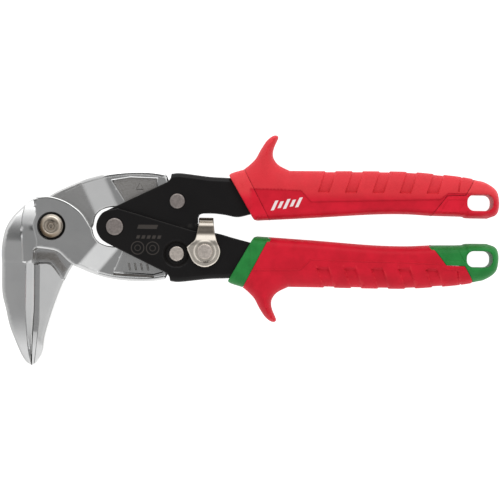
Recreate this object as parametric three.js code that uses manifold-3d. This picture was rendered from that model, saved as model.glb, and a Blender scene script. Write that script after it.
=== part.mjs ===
// Right-angle aviation snips: compound-action shears lying flat, blades pointing to -Y,
// handles along +X, pivot axes along Z.  Millimetres, +Z up.
import * as THREE from 'three';
import { mergeVertices } from 'three/addons/utils/BufferGeometryUtils.js';
import Module from 'manifold-3d';

const wasm = await Module();
wasm.setup();

// Driving dimensions (main pivot at 0,0; shear plane at z = 0).
const handlePivot = [31.3, 0]; // rivet that joins the two handles
const armPivot = [62, 13]; // upper arm rivet; the lower one is its mirror image
const latchPivot = [76, -11.7];
const shearGap = 0.15; // each jaw's face stands this far off the shear plane
const hubFace = 6.2; // outer face of each jaw hub
const armHalf = 2.7; // half thickness of the jaw tails
const wingTop = 9.5; // top of the raised front blade
const innerPlate = [3.0, 5.2]; // handle plate that lies next to the jaw tail
const outerPlate = [5.5, 7.7]; // handle plate that lies outside the other handle's
const plateThick = 2.2;
const handleRound = 9.0; // round end of the handle plates
const rivetHole = 3.3;
const rivetShank = 3.0;
const headRadius = 3.8;
const boltShank = 4.0;
const boltHole = 4.2;
const gripHalf = 10; // half thickness of the grips
const coreHalf = 8.6;
const fit = 0.3; // gap between moulded pieces
const slotCentre = [211.4, 13.9]; // lanyard slot
const slotSize = [12.8, 8.0];
const groovePitch = 13.4;
const grooveWidth = 5.4;
const grooveDepth = 0.7;
const springX = 50; // coil spring between the jaw tails
const springSpan = 7.2;

// ---- shape helpers ----
// A segment is one point (straight line) or a list of points (smooth curve).
const outline = (start, ...segments) => {
  const shape = new THREE.Shape().moveTo(...start);
  for (const s of segments) {
    if (typeof s[0] === 'number') shape.lineTo(...s);
    else shape.splineThru(s.map((p) => new THREE.Vector2(...p)));
  }
  return shape;
};

const solid = (geometry) => {
  const g = geometry.clone();
  g.deleteAttribute('normal');
  g.deleteAttribute('uv');
  const merged = mergeVertices(g, 1e-4);
  return new wasm.Manifold(new wasm.Mesh({
    numProp: 3,
    vertProperties: new Float32Array(merged.attributes.position.array),
    triVerts: new Uint32Array(merged.index.array),
  }));
};

const plate = (shape, low, high, bevel = 0, steps = 3, curve = 2) => {
  const g = new THREE.ExtrudeGeometry(shape, {
    depth: high - low - 2 * bevel,
    curveSegments: curve,
    bevelEnabled: bevel > 0,
    bevelThickness: bevel,
    bevelSize: bevel,
    bevelOffset: -bevel,
    bevelSegments: steps,
  });
  return solid(g.translate(0, 0, low + bevel));
};

const polygon = (points) => outline(points[0], ...points.slice(1));

// Prism along Y of an (x, z) profile, turned about Z.
const alongY = (points, turn = 0) => {
  const g = new THREE.ExtrudeGeometry(polygon(points), { depth: 200, bevelEnabled: false });
  return solid(g.rotateX(Math.PI / 2).translate(0, 100, 0).rotateZ(turn));
};

// Prism along X of a (y, z) profile.
const alongX = (points) => {
  const g = new THREE.ExtrudeGeometry(polygon(points), { depth: 200, bevelEnabled: false });
  return solid(g.rotateX(Math.PI / 2).rotateZ(Math.PI / 2).translate(-100, 0, 0));
};

const rod = ([x, y], radius, low, high, sides = 24) => {
  const g = new THREE.CylinderGeometry(radius, radius, high - low, sides);
  return solid(g.rotateX(Math.PI / 2).translate(x, y, (low + high) / 2));
};

// Turned piece about Z from (radius, z) points.
const turned = ([x, y], points, sides = 24) => {
  const profile = points.map((p) => new THREE.Vector2(...p));
  const g = new THREE.LatheGeometry(profile, sides);
  return solid(g.rotateX(Math.PI / 2).translate(x, y, 0));
};

const mirrorY = (points) => points.map(([x, y]) => [x, -y]);

// ---- jaws ----
const tailEye = [[57, -5.8], [62, -4.4], [67.5, -6.4], [70.6, -13], [67.5, -19.6], [62, -21.6]];
const clearance = [[21.2, -5.1], [23.6, -7.9], [26.8, -9.3], [30, -9.8]]; // round the handle rivet

function frontJaw() {
  const body = outline(
    [-9.3, 13.7],
    [[-5.9, 14.4], [-0.6, 14.5], [6, 12.6], [11.2, 9.6], [15.2, 6.1], [18.4, 1.4], [20, -1.2]],
    clearance,
    [[40, -9.6], [50, -8.2], [57, -5.8]],
    tailEye.slice(1),
    [58, -22],
    [56.3, -25.8],
    [[49, -26.8], [39.1, -26.8], [29.2, -25.7], [20.2, -23.3], [10.4, -19.1]],
    [[7.4, -16.7], [3.4, -13.1], [-0.6, -11.9], [-6.6, -11.2]],
    [-8.2, -12.5],
    [-12, -14],
    [-20, 4],
    [-13.7, 10.2],
  );
  // Hub level, then a joggle down to the mid plane where the tail runs between the plates.
  const joggle = [[-60, shearGap], [22.5, shearGap], [32.2, -armHalf], [100, -armHalf],
    [100, armHalf], [32.2, armHalf], [22.5, hubFace], [-60, hubFace]];
  const hub = plate(body, -armHalf, hubFace).intersect(alongY(joggle, -0.7));

  const blade = outline(
    [-9.3, 13.7],
    [-7.4, 5.3], [-8.3, 2.9], [-8.3, -2.9], [-6.8, -6.8], [-6.8, -10.8], [-8.2, -12.5], [-8.4, -17.4],
    [-8.0, -19.4],
    [[-7.9, -36.7], [-8.3, -46.5], [-9.2, -61.4], [-9.5, -69]],
    [[-11.8, -67.6], [-14.3, -63.7], [-17.5, -55.8], [-20, -48.9], [-21.8, -41], [-23.7, -32.7]],
    [[-23.8, -19.6], [-24.3, -13.1], [-23.6, -6.2], [-22, -0.3], [-18.6, 5.2], [-13.7, 10.2],
      [-9.3, 13.7]],
  );
  // Cutting edge at the shear plane, rising to the wing that carries the waste clear.
  const wing = [[-6, shearGap], [-12.5, shearGap], [-17, 5.2], [-30, 5.2], [-30, wingTop],
    [-13, wingTop], [-8.6, 1.4], [-6, 1.4]];
  const fall = [[13.8, 2], [10, 3.1], [5, 5], [1, 6.6], [-2, 7.75], [-5, 8.65], [-8, 9.2]];
  const rise = [[14, 0], ...fall, [-12, wingTop], [-48, wingTop], [-70, 3.4], [-70, 0]];
  const above = [[16, 1.9], ...fall.slice(0, 4), [1, 12], [16, 12]]; // the blade's root turns down here
  const raised = plate(blade, 0, 12).intersect(alongY(wing)).intersect(alongX(rise));
  const root = plate(blade, shearGap, hubFace).intersect(alongX([[14, 0], [14, 9], [-13, 9], [-13, 0]]));
  return hub.add(root).subtract(plate(blade, 1, 12).intersect(alongX(above))).add(raised)
    .subtract(rod([0, 0], boltHole, -1, 9))
    .subtract(rod([0, 0], 6.9, 3.6, 12))
    .subtract(rod([armPivot[0], -armPivot[1]], rivetHole, -9, 9));
}

function rearJaw() {
  const body = outline(
    [56.2, 26.6],
    [[51.3, 27.4], [45.4, 27.8], [39.4, 27.7], [33.5, 27.2], [27.6, 26.4], [21.7, 25.1], [15.8, 23.4],
      [9.9, 21], [2.8, 17.7], [-0.2, 16], [-3, 14.3]],
    [[-7.5, 11], [-11, 5], [-12, -3], [-11.2, -11], [-9.2, -17.6]],
    [[-9.1, -36], [-9.3, -50], [-9.8, -61], [-9.4, -69.2]],
    [[-6.6, -67.1], [-3.9, -61.8], [-2.7, -53.9], [0.7, -41.7], [4.3, -31.3], [7.7, -23.6],
      [10.4, -19.1]],
    [[14, -12], [17.6, -5], [20.2, 0.6]],
    mirrorY(clearance),
    mirrorY([[40, -9.6], [50, -8.2], [57, -5.8]]),
    mirrorY(tailEye.slice(1)),
    [58, 22],
  );
  const joggleTop = [[-90, -hubFace], [100, -hubFace], [100, armHalf], [33.6, armHalf],
    [22, -shearGap], [-90, -shearGap]];
  const joggleBack = [[-90, -hubFace], [18, -hubFace], [29, -armHalf], [100, -armHalf],
    [100, armHalf], [-90, armHalf]];
  const taper = [[60, -hubFace], [-14, -hubFace], [-30, -5], [-70, -2], [-70, 4], [60, 4]];
  const relief = [[100, -9], [-5, -9], [-5, -5.2], [-12.6, -2], [-12.6, 9], [100, 9]];
  const flat = plate(body, -hubFace, armHalf).intersect(alongY(joggleTop, 0.44))
    .intersect(alongY(joggleBack, 0.52))
    .intersect(alongX(taper)).intersect(alongY(relief));

  // Raised blade body beside the cutting land, cut back below the hub by a clearance recess.
  const ridge = outline(
    [-6, -18.2],
    [[-1.5, -18.1], [1.5, -20], [5.5, -25.4]],
    [[3, -33], [0.2, -42.5], [-2.9, -54], [-4.2, -61.6], [-6.9, -66.7]],
    [-8.4, -67],
    [[-7.4, -58], [-6, -46.5]],
  );
  const crown = [[-8.4, -1], [-8.4, 0.6], [-4.6, 4], [-1, 4], [8, 0.8], [8, -1]];
  const raised = plate(ridge, -1, 4).intersect(alongY(crown, 0.02));
  return flat.add(raised)
    .subtract(rod([0, 0], boltHole, -9, 1))
    .subtract(rod(armPivot, rivetHole, -9, 9));
}

// ---- handle stamping, drawn as the upper one; the lower is the same turned over ----
function handleFrame(grow = 0, notched = false) {
  const tip = [27.4, 8.1];
  const topEdge = [[57.3, 22.7], [59, 26.4], [64, 26.9], [78, 25.2], [88, 24.7]];
  const tail = [[97, 23.4], [186, 21.4], [186, 11], [110, 8.6]];
  const round = [[22.9, 3.2], [22.6, -2.4], [26, -7.3], [32.8, -handleRound]].reverse();
  const cut = notched // the upper handle's outer plate is cut back round the latch
    ? [[[91.8, 5.4], [85.6, 6.5], [80.2, 7.2], [74.4, 7.2]], [72.2, 5], [72.2, 2.3], [69.9, 1.6]]
    : [[[89.7, 4.8], [81.3, 2.6], [69.9, 1.6]]];
  const outer = outline(tip, ...topEdge, ...tail, [98.2, 7], ...cut,
    round[0], [...round.slice(1), tip]);
  const inner = outline(tip, ...topEdge, ...tail, [98.2, 7],
    [[91.8, 5.4], [85.6, 6.5], [80.2, 7.2], [74.4, 7.2]], [72.2, 5],
    [72.2, 1], [76, 1], [76, -2.1], [72.2, -2.1], // catch tongue for the latch
    round[0], [...round.slice(1), tip]);
  const [innerLow, innerHigh] = innerPlate;
  const [outerLow, outerHigh] = outerPlate;
  const web = outline([59.3, 26.3], [64, 26.8], [78, 25.1], [88, 24.6], [97, 23.3], [185.9, 21.3],
    [185.9, 19.1], [97, 21.1], [88, 22.4], [78, 22.9], [64, 24.6], [60.4, 24.1]);
  let frame = plate(inner, innerLow, innerHigh)
    .add(plate(outer, -outerHigh, -outerLow))
    .add(plate(web, -outerHigh + 0.05, innerHigh - 0.05));
  if (grow) return frame;

  // Dimple that brings the outer plate in to the jaw tail, open at the rivet hole.
  frame = frame.subtract(rod(armPivot, 6.6, -9, -5.3)).add(turned(armPivot, [
    [2.5, -innerLow], [2.5, -innerHigh], [4.9, -innerHigh], [6.5, -outerHigh + 0.3],
    [7.3, -outerHigh + 0.2], [7.3, -outerLow - 0.3], [5.4, -innerLow], [2.5, -innerLow],
  ]));
  for (const centre of [handlePivot, armPivot]) frame = frame.subtract(rod(centre, rivetHole, -9, 9));
  return frame;
}

// ---- grips ----
const gripEdge = () => outline(
  [101.6, 4],
  [87.8, 26.8],
  [94.7, 28.9],
  [[104, 29.2], [117.4, 28.6]],
  [[134, 28.8], [152, 29], [174, 29], [187.3, 28.2], [202, 26.9], [211.4, 25], [216.6, 22.8],
    [219.9, 19.8], [220.9, 15.5], [220.8, 11], [219.3, 7.8], [214.5, 6.2], [205, 6.6]],
  [[187.6, 7.3], [172, 7.8], [155, 7.4], [130, 5.6], [108.9, 4.2]],
);
const hornEdge = () => outline(
  [98, 20],
  [94.7, 29.2],
  [[100.3, 34.2], [103.1, 39.4], [105.9, 44], [108.7, 46], [111.2, 45.8], [111.2, 43.8], [109.3, 40],
    [109.2, 36.4], [111.4, 32.4], [117.4, 28.6]],
  [118, 20],
);
const sleeveZone = (grow) => polygon([
  [95 - grow, 28.9], [94 - grow, 31], [94, 60], [216, 60], [208.8 + grow, 26.5],
  [204 + grow, 17.4 - grow], [195 + grow, 17.2 - grow], [183.8 + grow, 0], [109.6 - grow, 0],
]);
const coreEdge = () => polygon([
  [94, 26], [104, 6.8], [130, 8.2], [157, 10], [190, 9.8], [213, 8.5], [213, 21], [206, 24],
  [174, 26.4], [133, 25.8],
]);

function gripParts() {
  const whole = () => plate(gripEdge(), -gripHalf, gripHalf, 3, 3, 2)
    .add(plate(hornEdge(), -8, 8, 0.9, 1, 2));
  const zone = (grow) => plate(sleeveZone(grow), -20, 20);
  const inside = (grow) => plate(coreEdge(), -coreHalf - grow, coreHalf + grow);
  const [sx, sy] = slotSize;
  const slotRadius = 3.2;
  let slot = rod([0, 0], slotRadius, -20, 20, 20);
  const corners = [1, -1].flatMap((i) => [1, -1].map((j) => [
    slotCentre[0] + i * (sx / 2 - slotRadius), slotCentre[1] + j * (sy / 2 - slotRadius)]));
  slot = corners.map((c) => rod(c, slotRadius, -20, 20, 20)).reduce((a, b) => a.add(b))
    .add(solid(new THREE.BoxGeometry(sx, sy - 2 * slotRadius, 40).translate(...slotCentre, 0)))
    .add(solid(new THREE.BoxGeometry(sx - 2 * slotRadius, sy, 40).translate(...slotCentre, 0)));
  const tailSlot = solid(new THREE.BoxGeometry(120, 19, 13.6).translate(127, 15.6, -1.2));
  const wedge = plate(polygon([[60, 0], [60, 40], [186.6, 22.1], [186.6, 10.3]]), -8.05, 5.55);
  let sleeve = whole().intersect(zone(0)).subtract(inside(fit));
  const shift = -3.5; // the grooves lean this far toward the head at their inner end
  for (let i = 0; i < 5; i += 1) {
    const x = 137.6 + i * groovePitch;
    const band = outline([x - grooveWidth / 2 + 1.9, 34], [x + grooveWidth / 2 + 1.9, 34],
      [x + grooveWidth / 2 + shift, 18], [x - grooveWidth / 2 + shift, 18]);
    for (const [low, high] of [[gripHalf - grooveDepth, 12], [-12, grooveDepth - gripHalf]]) {
      sleeve = sleeve.subtract(plate(band, low, high));
    }
  }
  const core = whole().subtract(zone(fit)).add(inside(0))
    .subtract(wedge.intersect(tailSlot)).subtract(slot);
  return { sleeve: sleeve.subtract(slot), core };
}

// ---- fasteners ----
const rivet = (centre, low, high, head = headRadius, shank = rivetShank) => {
  const dome = 0.9;
  return turned(centre, [
    [0, low - dome], [head - 1, low - dome], [head, low - 0.35], [head, low], [shank, low],
    [shank, high], [head, high], [head, high + 0.35], [head - 1, high + dome], [0, high + dome],
  ]);
};
const ring = (centre, radius, hole, low, high) => turned(centre, [
  [hole, low], [radius, low], [radius, high], [hole, high], [hole, low],
]);

function pivotBolt() {
  const socket = new THREE.CylinderGeometry(2.0, 2.0, 4, 6).rotateX(Math.PI / 2).translate(0, 0, 10);
  return turned([0, 0], [
    [0, -9.6], [boltShank - 0.6, -9.6], [boltShank, -9], [boltShank, 4.5], [6.1, 4.5], [6.1, 6.6],
    [5.6, 7.6], [4.2, 8.7], [0, 8.7],
  ], 40).subtract(solid(socket));
}

function pivotNut() {
  const hex = new THREE.CylinderGeometry(7.5, 7.5, 2.4, 6).rotateX(Math.PI / 2);
  return solid(hex.rotateZ(Math.PI / 6).translate(0, 0, -8.8))
    .intersect(turned([0, 0], [[0, -10], [6.6, -10], [7.6, -9.4], [7.6, -7], [0, -7]]))
    .subtract(rod([0, 0], boltShank + 0.15, -12, -6));
}

function latchLever() {
  const [kx, ky] = latchPivot;
  const lever = outline(
    [68.9, -7.8],
    [[71.2, -5.6], [72.2, -2], [72.9, 3.4]],
    [80.1, 3.4],
    [[80.8, -2], [82, -6.4], [83.6, -11.7], [81.6, -16.8], [76.2, -19.4], [70.6, -17.4]],
    [[68.4, -13.4], [67, -9.4], [68.9, -7.8]],
  );
  const thumb = alongX([[-1, 8.3], [3.2, 12.4], [4.6, 13.2], [6, 12.8], [6, 11.2], [4.4, 11.4],
    [1.6, 8.3]]).intersect(plate(polygon([[72.8, -2], [80.2, -2], [80.2, 8], [72.8, 8]]), 5, 20));
  const claw = plate(polygon([[76.6, 1.6], [80, 1.6], [80, 4.4], [76.6, 4.4]]), 2.9, 9.9);
  return plate(lever, 8.3, 9.9).add(thumb).add(claw)
    .subtract(rod([kx, ky], 2.8, 5, 12));
}

function returnSpring() {
  class Helix extends THREE.Curve {
    getPoint(t, target = new THREE.Vector3()) {
      const a = t * Math.PI * 2 * 7;
      return target.set(springX + 1.9 * Math.cos(a), springSpan * (2 * t - 1), 1.9 * Math.sin(a));
    }
  }
  const wire = new THREE.Shape().absarc(0, 0, 0.5, 0, Math.PI * 2);
  return solid(new THREE.ExtrudeGeometry(wire, {
    steps: 70, curveSegments: 3, extrudePath: new Helix(), bevelEnabled: false,
  }));
}

// ---- assembly ----
const part = new THREE.Group();
const steel = { color: 0x9b9c9a, roughness: 0.38, metalness: 1 };
const black = { color: 0x17181a, roughness: 0.45, metalness: 0.2 };
const nickel = { color: 0xb9ae9e, roughness: 0.25, metalness: 1 };
const zinc = { color: 0x9a9396, roughness: 0.35, metalness: 1 };
const red = { color: 0xc21f33, roughness: 0.5, metalness: 0 };
const green = { color: 0x1f7a3a, roughness: 0.45, metalness: 0 };

function place(parent, name, manifold, look) {
  const { vertProperties, triVerts } = manifold.getMesh();
  const g = new THREE.BufferGeometry();
  g.setAttribute('position', new THREE.BufferAttribute(new Float32Array(vertProperties), 3));
  g.setIndex(new THREE.BufferAttribute(new Uint32Array(triVerts), 1));
  g.computeVertexNormals();
  const mesh = new THREE.Mesh(g, new THREE.MeshStandardMaterial(look));
  mesh.name = name;
  parent.add(mesh);
  return mesh;
}

const upper = new THREE.Group();
const lower = new THREE.Group();
lower.rotation.x = Math.PI; // the lower handle is the upper one turned over
part.add(upper, lower);

place(part, 'front_jaw', frontJaw(), steel);
place(part, 'rear_jaw', rearJaw(), steel);
place(part, 'pivot_bolt', pivotBolt(), nickel);
place(part, 'bolt_washer', ring([0, 0], 6.7, boltHole, 3.8, 4.3), black);
place(part, 'pivot_washer', ring([0, 0], 8, boltHole, -7.4, -6.4), zinc);
place(part, 'pivot_nut', pivotNut(), zinc);

const latchHole = rod([latchPivot[0], -latchPivot[1]], 2.8, -9, -5.3);
place(upper, 'upper_handle_frame', handleFrame(0, true), black);
place(lower, 'lower_handle_frame', handleFrame().subtract(latchHole), black);
place(upper, 'upper_arm_rivet', rivet(armPivot, -innerPlate[1] - 0.15, innerPlate[1] + 0.15), zinc);
place(lower, 'lower_arm_rivet', rivet(armPivot, -innerPlate[1] - 0.15, innerPlate[1] + 0.15), zinc);
const outerFace = outerPlate[1] + 0.15;
place(part, 'handle_rivet', rivet(handlePivot, -outerFace, outerFace, 4.3), zinc);
place(part, 'handle_spacer', ring(handlePivot, 4.8, rivetHole, -2.8, 2.8), zinc);

place(part, 'return_spring', returnSpring(), zinc);
place(part, 'latch_lever', latchLever(), nickel);
place(part, 'latch_washer', ring(latchPivot, 6, 2.8, 7.85, 8.15), zinc);
place(part, 'latch_rivet', rivet(latchPivot, 5.35, 10.05, headRadius, 2.5), zinc);

const upperGrip = gripParts();
const lowerGrip = gripParts();
place(upper, 'upper_grip_core', upperGrip.core, red);
place(upper, 'upper_grip_sleeve', upperGrip.sleeve, red);
place(lower, 'lower_grip_core', lowerGrip.core, green);
place(lower, 'lower_grip_sleeve', lowerGrip.sleeve, red);

// Origin at the centre of the bottom of the whole part.
part.updateMatrixWorld(true);
const box = new THREE.Box3().setFromObject(part, true);
const middle = box.getCenter(new THREE.Vector3());
part.position.set(-middle.x, -middle.y, -box.min.z);

export default part;
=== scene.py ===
import math

import bmesh
import bpy
import numpy as np
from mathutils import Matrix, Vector
from mathutils.geometry import delaunay_2d_cdt


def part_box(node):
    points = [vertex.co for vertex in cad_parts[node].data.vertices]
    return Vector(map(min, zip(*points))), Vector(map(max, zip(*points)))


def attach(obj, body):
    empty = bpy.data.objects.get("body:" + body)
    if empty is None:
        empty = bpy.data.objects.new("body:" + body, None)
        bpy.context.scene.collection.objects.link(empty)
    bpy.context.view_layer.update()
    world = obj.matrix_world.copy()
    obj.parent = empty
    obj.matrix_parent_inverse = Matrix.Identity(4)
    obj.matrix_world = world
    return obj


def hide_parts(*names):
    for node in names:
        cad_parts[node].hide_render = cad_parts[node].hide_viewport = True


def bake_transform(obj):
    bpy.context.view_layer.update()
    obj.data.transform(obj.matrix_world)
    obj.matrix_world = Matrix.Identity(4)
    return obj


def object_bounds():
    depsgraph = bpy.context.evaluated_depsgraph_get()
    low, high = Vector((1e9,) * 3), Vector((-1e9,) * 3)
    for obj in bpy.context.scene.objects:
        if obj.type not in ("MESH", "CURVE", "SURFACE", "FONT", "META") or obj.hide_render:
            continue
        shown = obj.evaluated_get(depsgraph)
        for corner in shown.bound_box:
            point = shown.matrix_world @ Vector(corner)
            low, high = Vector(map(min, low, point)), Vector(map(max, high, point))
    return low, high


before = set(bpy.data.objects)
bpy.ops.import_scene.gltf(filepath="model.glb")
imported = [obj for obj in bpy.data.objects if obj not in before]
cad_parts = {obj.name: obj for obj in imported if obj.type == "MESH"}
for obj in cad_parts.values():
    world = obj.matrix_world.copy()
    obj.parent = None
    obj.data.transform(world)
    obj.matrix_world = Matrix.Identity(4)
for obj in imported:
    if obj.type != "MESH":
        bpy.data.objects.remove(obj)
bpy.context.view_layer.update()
print("frame loaded")

# Shapes are drawn in millimetres from the main pivot; z = 0 is the plane the blades shear on.
boltLow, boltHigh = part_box("pivot_bolt")
rivetLow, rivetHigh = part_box("handle_rivet")
origin = np.array([
    (boltLow.x + boltHigh.x) / 2,
    (boltLow.y + boltHigh.y) / 2,
    (rivetLow.z + rivetHigh.z) / 2,
])


def middle(node):
    low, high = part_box(node)
    centre = (np.array(low) + np.array(high)) / 2
    return (centre - origin)[:2] * 1000


handlePivot = middle("handle_rivet")
upperRivet = middle("upper_arm_rivet")
lowerRivet = middle("lower_arm_rivet")
latchPivot = middle("latch_rivet")
metalThick = 2.2


# Outlines and distances.
def smooth(points, step=0.5):
    p = np.array(points, float)
    p = np.vstack([2 * p[0] - p[1], p, 2 * p[-1] - p[-2]])
    out = [p[1]]
    for a, b, c, d in zip(p, p[1:], p[2:], p[3:]):
        count = max(1, int(np.ceil(np.linalg.norm(c - b) / step)))
        for t in np.arange(1, count + 1) / count:
            out.append(0.5 * (2 * b + (c - a) * t + (2 * a - 5 * b + 4 * c - d) * t * t
                              + (3 * b - a - 3 * c + d) * t ** 3))
    return out


# A segment is one point (straight) or a list of points (a curve through them and the last one).
def path(start, *segments):
    line = [np.array(start, float)]
    for s in segments:
        if isinstance(s[0], (int, float)):
            line.append(np.array(s, float))
        else:
            line += smooth([line[-1], *s])[1:]
    return np.array(line)


def looped(line):
    return np.vstack([line, line[:1]])


# Points at even steps; any two nearer than the weld are one.
def spaced(line, step, closed=False, weld=0.03):
    line = np.array(line, float)
    if closed:
        line = looped(line)
    out = []
    for a, b in zip(line, line[1:]):
        count = max(1, int(round(np.linalg.norm(b - a) / step)))
        for i in range(count):
            out.append(a + (b - a) * i / count)
    if not closed:
        out.append(line[-1])
    keep = [out[0]]
    for p in out[1:]:
        if np.linalg.norm(p - keep[-1]) > weld:
            keep.append(p)
    if closed and np.linalg.norm(keep[0] - keep[-1]) < weld:
        keep.pop()
    return np.array(keep)


# Distance from each point to a line, worked out a batch of segments at a time.
def nearest(points, line, closed=False, batch=64):
    line = np.array(line, float)
    if closed:
        line = looped(line)
    a, d = line[:-1], line[1:] - line[:-1]
    long = np.maximum((d ** 2).sum(1), 1e-12)
    best = np.full(len(points), 1e9)
    for i in range(0, len(a), batch):
        rel = points[:, None, :] - a[None, i:i + batch]
        t = np.clip((rel * d[None, i:i + batch]).sum(2) / long[None, i:i + batch], 0, 1)
        gap = rel - t[..., None] * d[None, i:i + batch]
        best = np.minimum(best, (gap ** 2).sum(2).min(1))
    return np.sqrt(best)


def within(points, polygon):
    polygon = np.array(polygon, float)
    x, y = points[:, 0], points[:, 1]
    inside = np.zeros(len(points), bool)
    for (x1, y1), (x2, y2) in zip(polygon, np.roll(polygon, -1, 0)):
        if y1 != y2:
            cross = (y1 > y) != (y2 > y)
            inside ^= cross & (x < (x2 - x1) * (y - y1) / (y2 - y1) + x1)
    return inside


def ramp(value, low, high):
    t = np.clip((value - low) / (high - low), 0, 1)
    return t * t * (3 - 2 * t)


# A line moved sideways, to its left for a positive distance.
def beside(line, distance):
    line = np.array(line, float)
    along = np.gradient(line, axis=0)
    along /= np.maximum(np.linalg.norm(along, axis=1, keepdims=True), 1e-9)
    return line + np.column_stack([-along[:, 1], along[:, 0]]) * distance


# 0 outside a polygon, rising to 1 across a wall of the given width inside it.
def well(points, polygon, wall):
    depth = nearest(points, polygon, True)
    return np.where(within(points, polygon), np.clip(depth / wall, 0, 1), 0)


def inset(polygon, width):
    polygon = np.array(polygon, float)
    if signedArea(polygon) < 0:
        polygon = polygon[::-1]
    out = []
    for a, b, c in zip(np.roll(polygon, 1, 0), polygon, np.roll(polygon, -1, 0)):
        u, v = (b - a) / np.linalg.norm(b - a), (c - b) / np.linalg.norm(c - b)
        nu, nv = np.array([-u[1], u[0]]), np.array([-v[1], v[0]])
        m = (nu + nv) / max(0.3, 1 + nu @ nv)
        out.append(b + m * width)
    return np.array(out)


def signedArea(polygon):
    x, y = np.array(polygon).T
    return 0.5 * np.sum(x * np.roll(y, -1) - np.roll(x, -1) * y)


def circle(centre, radius, count=40):
    a = np.linspace(0, 2 * math.pi, count, endpoint=False)
    return np.column_stack([centre[0] + radius * np.cos(a), centre[1] + radius * np.sin(a)])


# An outline and the foot of its wall, as lines that the triangles must follow.
def ringLines(polygon, wall):
    return [looped(polygon), looped(inset(polygon, wall))]


# Quarter-round profile: 0 at the edge, 1 at distance radius and beyond.
def round1(distance, radius, power=2.0):
    t = 1 - np.clip(distance / radius, 0, 1)
    return (1 - t ** power) ** (1 / power)


def makeMesh(name, points, faces, look, sharp=32, flip=False, attributes=None):
    points = np.array(points, float)
    if flip:  # turned over about the X axis
        points = points * [1, -1, -1]
    mesh = bpy.data.meshes.new(name)
    mesh.from_pydata((points / 1000 + origin).tolist(), [], faces)
    mesh.validate()
    for key, values in (attributes or {}).items():
        layer = mesh.attributes.new(key, "FLOAT", "POINT")
        layer.data.foreach_set("value", np.array(values, np.float32))
    mesh.polygons.foreach_set("use_smooth", [True] * len(mesh.polygons))
    mesh.set_sharp_from_angle(angle=math.radians(sharp))
    mesh.materials.append(look)
    mesh.update()
    piece = bpy.data.objects.new(name, mesh)
    bpy.context.scene.collection.objects.link(piece)
    return piece


# A closed plate: one triangulation of the outline lifted to top(points) and bottom(points).
def slab(outline, top, bottom, step=1.0, rings=(0.12, 0.3, 0.6, 1.0), lines=(), holes=()):
    outline = spaced(outline, step * 0.6, True)
    if signedArea(outline) < 0:
        outline = outline[::-1]
    loops = [outline]
    for h in holes:
        h = spaced(h, step * 0.5, True)
        loops.append(h[::-1] if signedArea(h) > 0 else h)
    solidLines = [spaced(line, step * 0.5) for line in lines]

    def allowed(p, gap):
        ok = within(p, outline)
        for loop in loops[1:]:
            ok &= ~within(p, loop)
        for loop in loops:
            ok[ok] &= nearest(p[ok], loop, True) > gap
        return ok

    points, edges = [], []
    for loop in loops:
        first = len(points)
        points += list(loop)
        edges += [(first + i, first + (i + 1) % len(loop)) for i in range(len(loop))]
    for line in solidLines:
        ok = allowed(line, 0.02)
        for i in range(len(line)):
            if ok[i]:
                if i and ok[i - 1]:
                    edges.append((len(points) - 1, len(points)))
                points.append(line[i])
    extra = []
    for loop in loops:
        side = np.roll(loop, -1, 0) - np.roll(loop, 1, 0)
        side /= np.maximum(np.linalg.norm(side, axis=1, keepdims=True), 1e-9)
        inward = np.column_stack([-side[:, 1], side[:, 0]])
        for i, r in enumerate(rings):
            ring = (loop + inward * r)[::1 + i // 3]
            extra.append(ring[allowed(ring, r * 0.93)])
    low, high = outline.min(0), outline.max(0)
    gx, gy = np.meshgrid(np.arange(low[0], high[0], step), np.arange(low[1], high[1], step * 0.866))
    gx[1::2] += step / 2
    grid = np.column_stack([gx.ravel(), gy.ravel()])
    extra.append(grid[allowed(grid, rings[-1] + step * 0.5)])
    extra = np.vstack(extra)
    for line in solidLines:
        if len(line) > 1:
            extra = extra[nearest(extra, line) > 0.12]
    points += list(extra)
    made = delaunay_2d_cdt([Vector(p) for p in points], edges, [], 0, 1e-4)
    flat = np.array([tuple(v) for v in made[0]])
    tris = np.array([f for f in made[2] if len(f) == 3])
    centre = flat[tris].mean(1)
    keep = within(centre, outline)
    for loop in loops[1:]:
        keep &= ~within(centre, loop)
    tris = tris[keep]
    a, b, c = flat[tris[:, 0]], flat[tris[:, 1]], flat[tris[:, 2]]
    turn = (b[:, 0] - a[:, 0]) * (c[:, 1] - a[:, 1]) - (b[:, 1] - a[:, 1]) * (c[:, 0] - a[:, 0])
    tris[turn < 0] = tris[turn < 0][:, ::-1]
    used = np.unique(tris)
    back = np.full(len(flat), -1)
    back[used] = np.arange(len(used))
    flat, tris = flat[used], back[tris]
    n = len(flat)
    directed = {(t[i], t[(i + 1) % 3]) for t in tris.tolist() for i in range(3)}
    walls = [(i + n, j + n, j, i) for i, j in directed if (j, i) not in directed]
    walls.sort()
    high, low = top(flat), bottom(flat)
    low = np.minimum(low, high - 0.02)
    verts = np.vstack([np.column_stack([flat, high]), np.column_stack([flat, low])])
    faces = tris.tolist() + (tris[:, ::-1] + n).tolist() + walls
    return verts, faces


def joined(*shells):
    verts, faces, start = [], [], 0
    for v, f in shells:
        verts.append(np.array(v, float))
        faces += [[i + start for i in face] for face in f]
        start += len(v)
    return np.vstack(verts), faces


def finished(piece, body, slotName, *nodes):
    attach(piece, body)
    if nodes:
        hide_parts(*nodes)
    return piece


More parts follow.
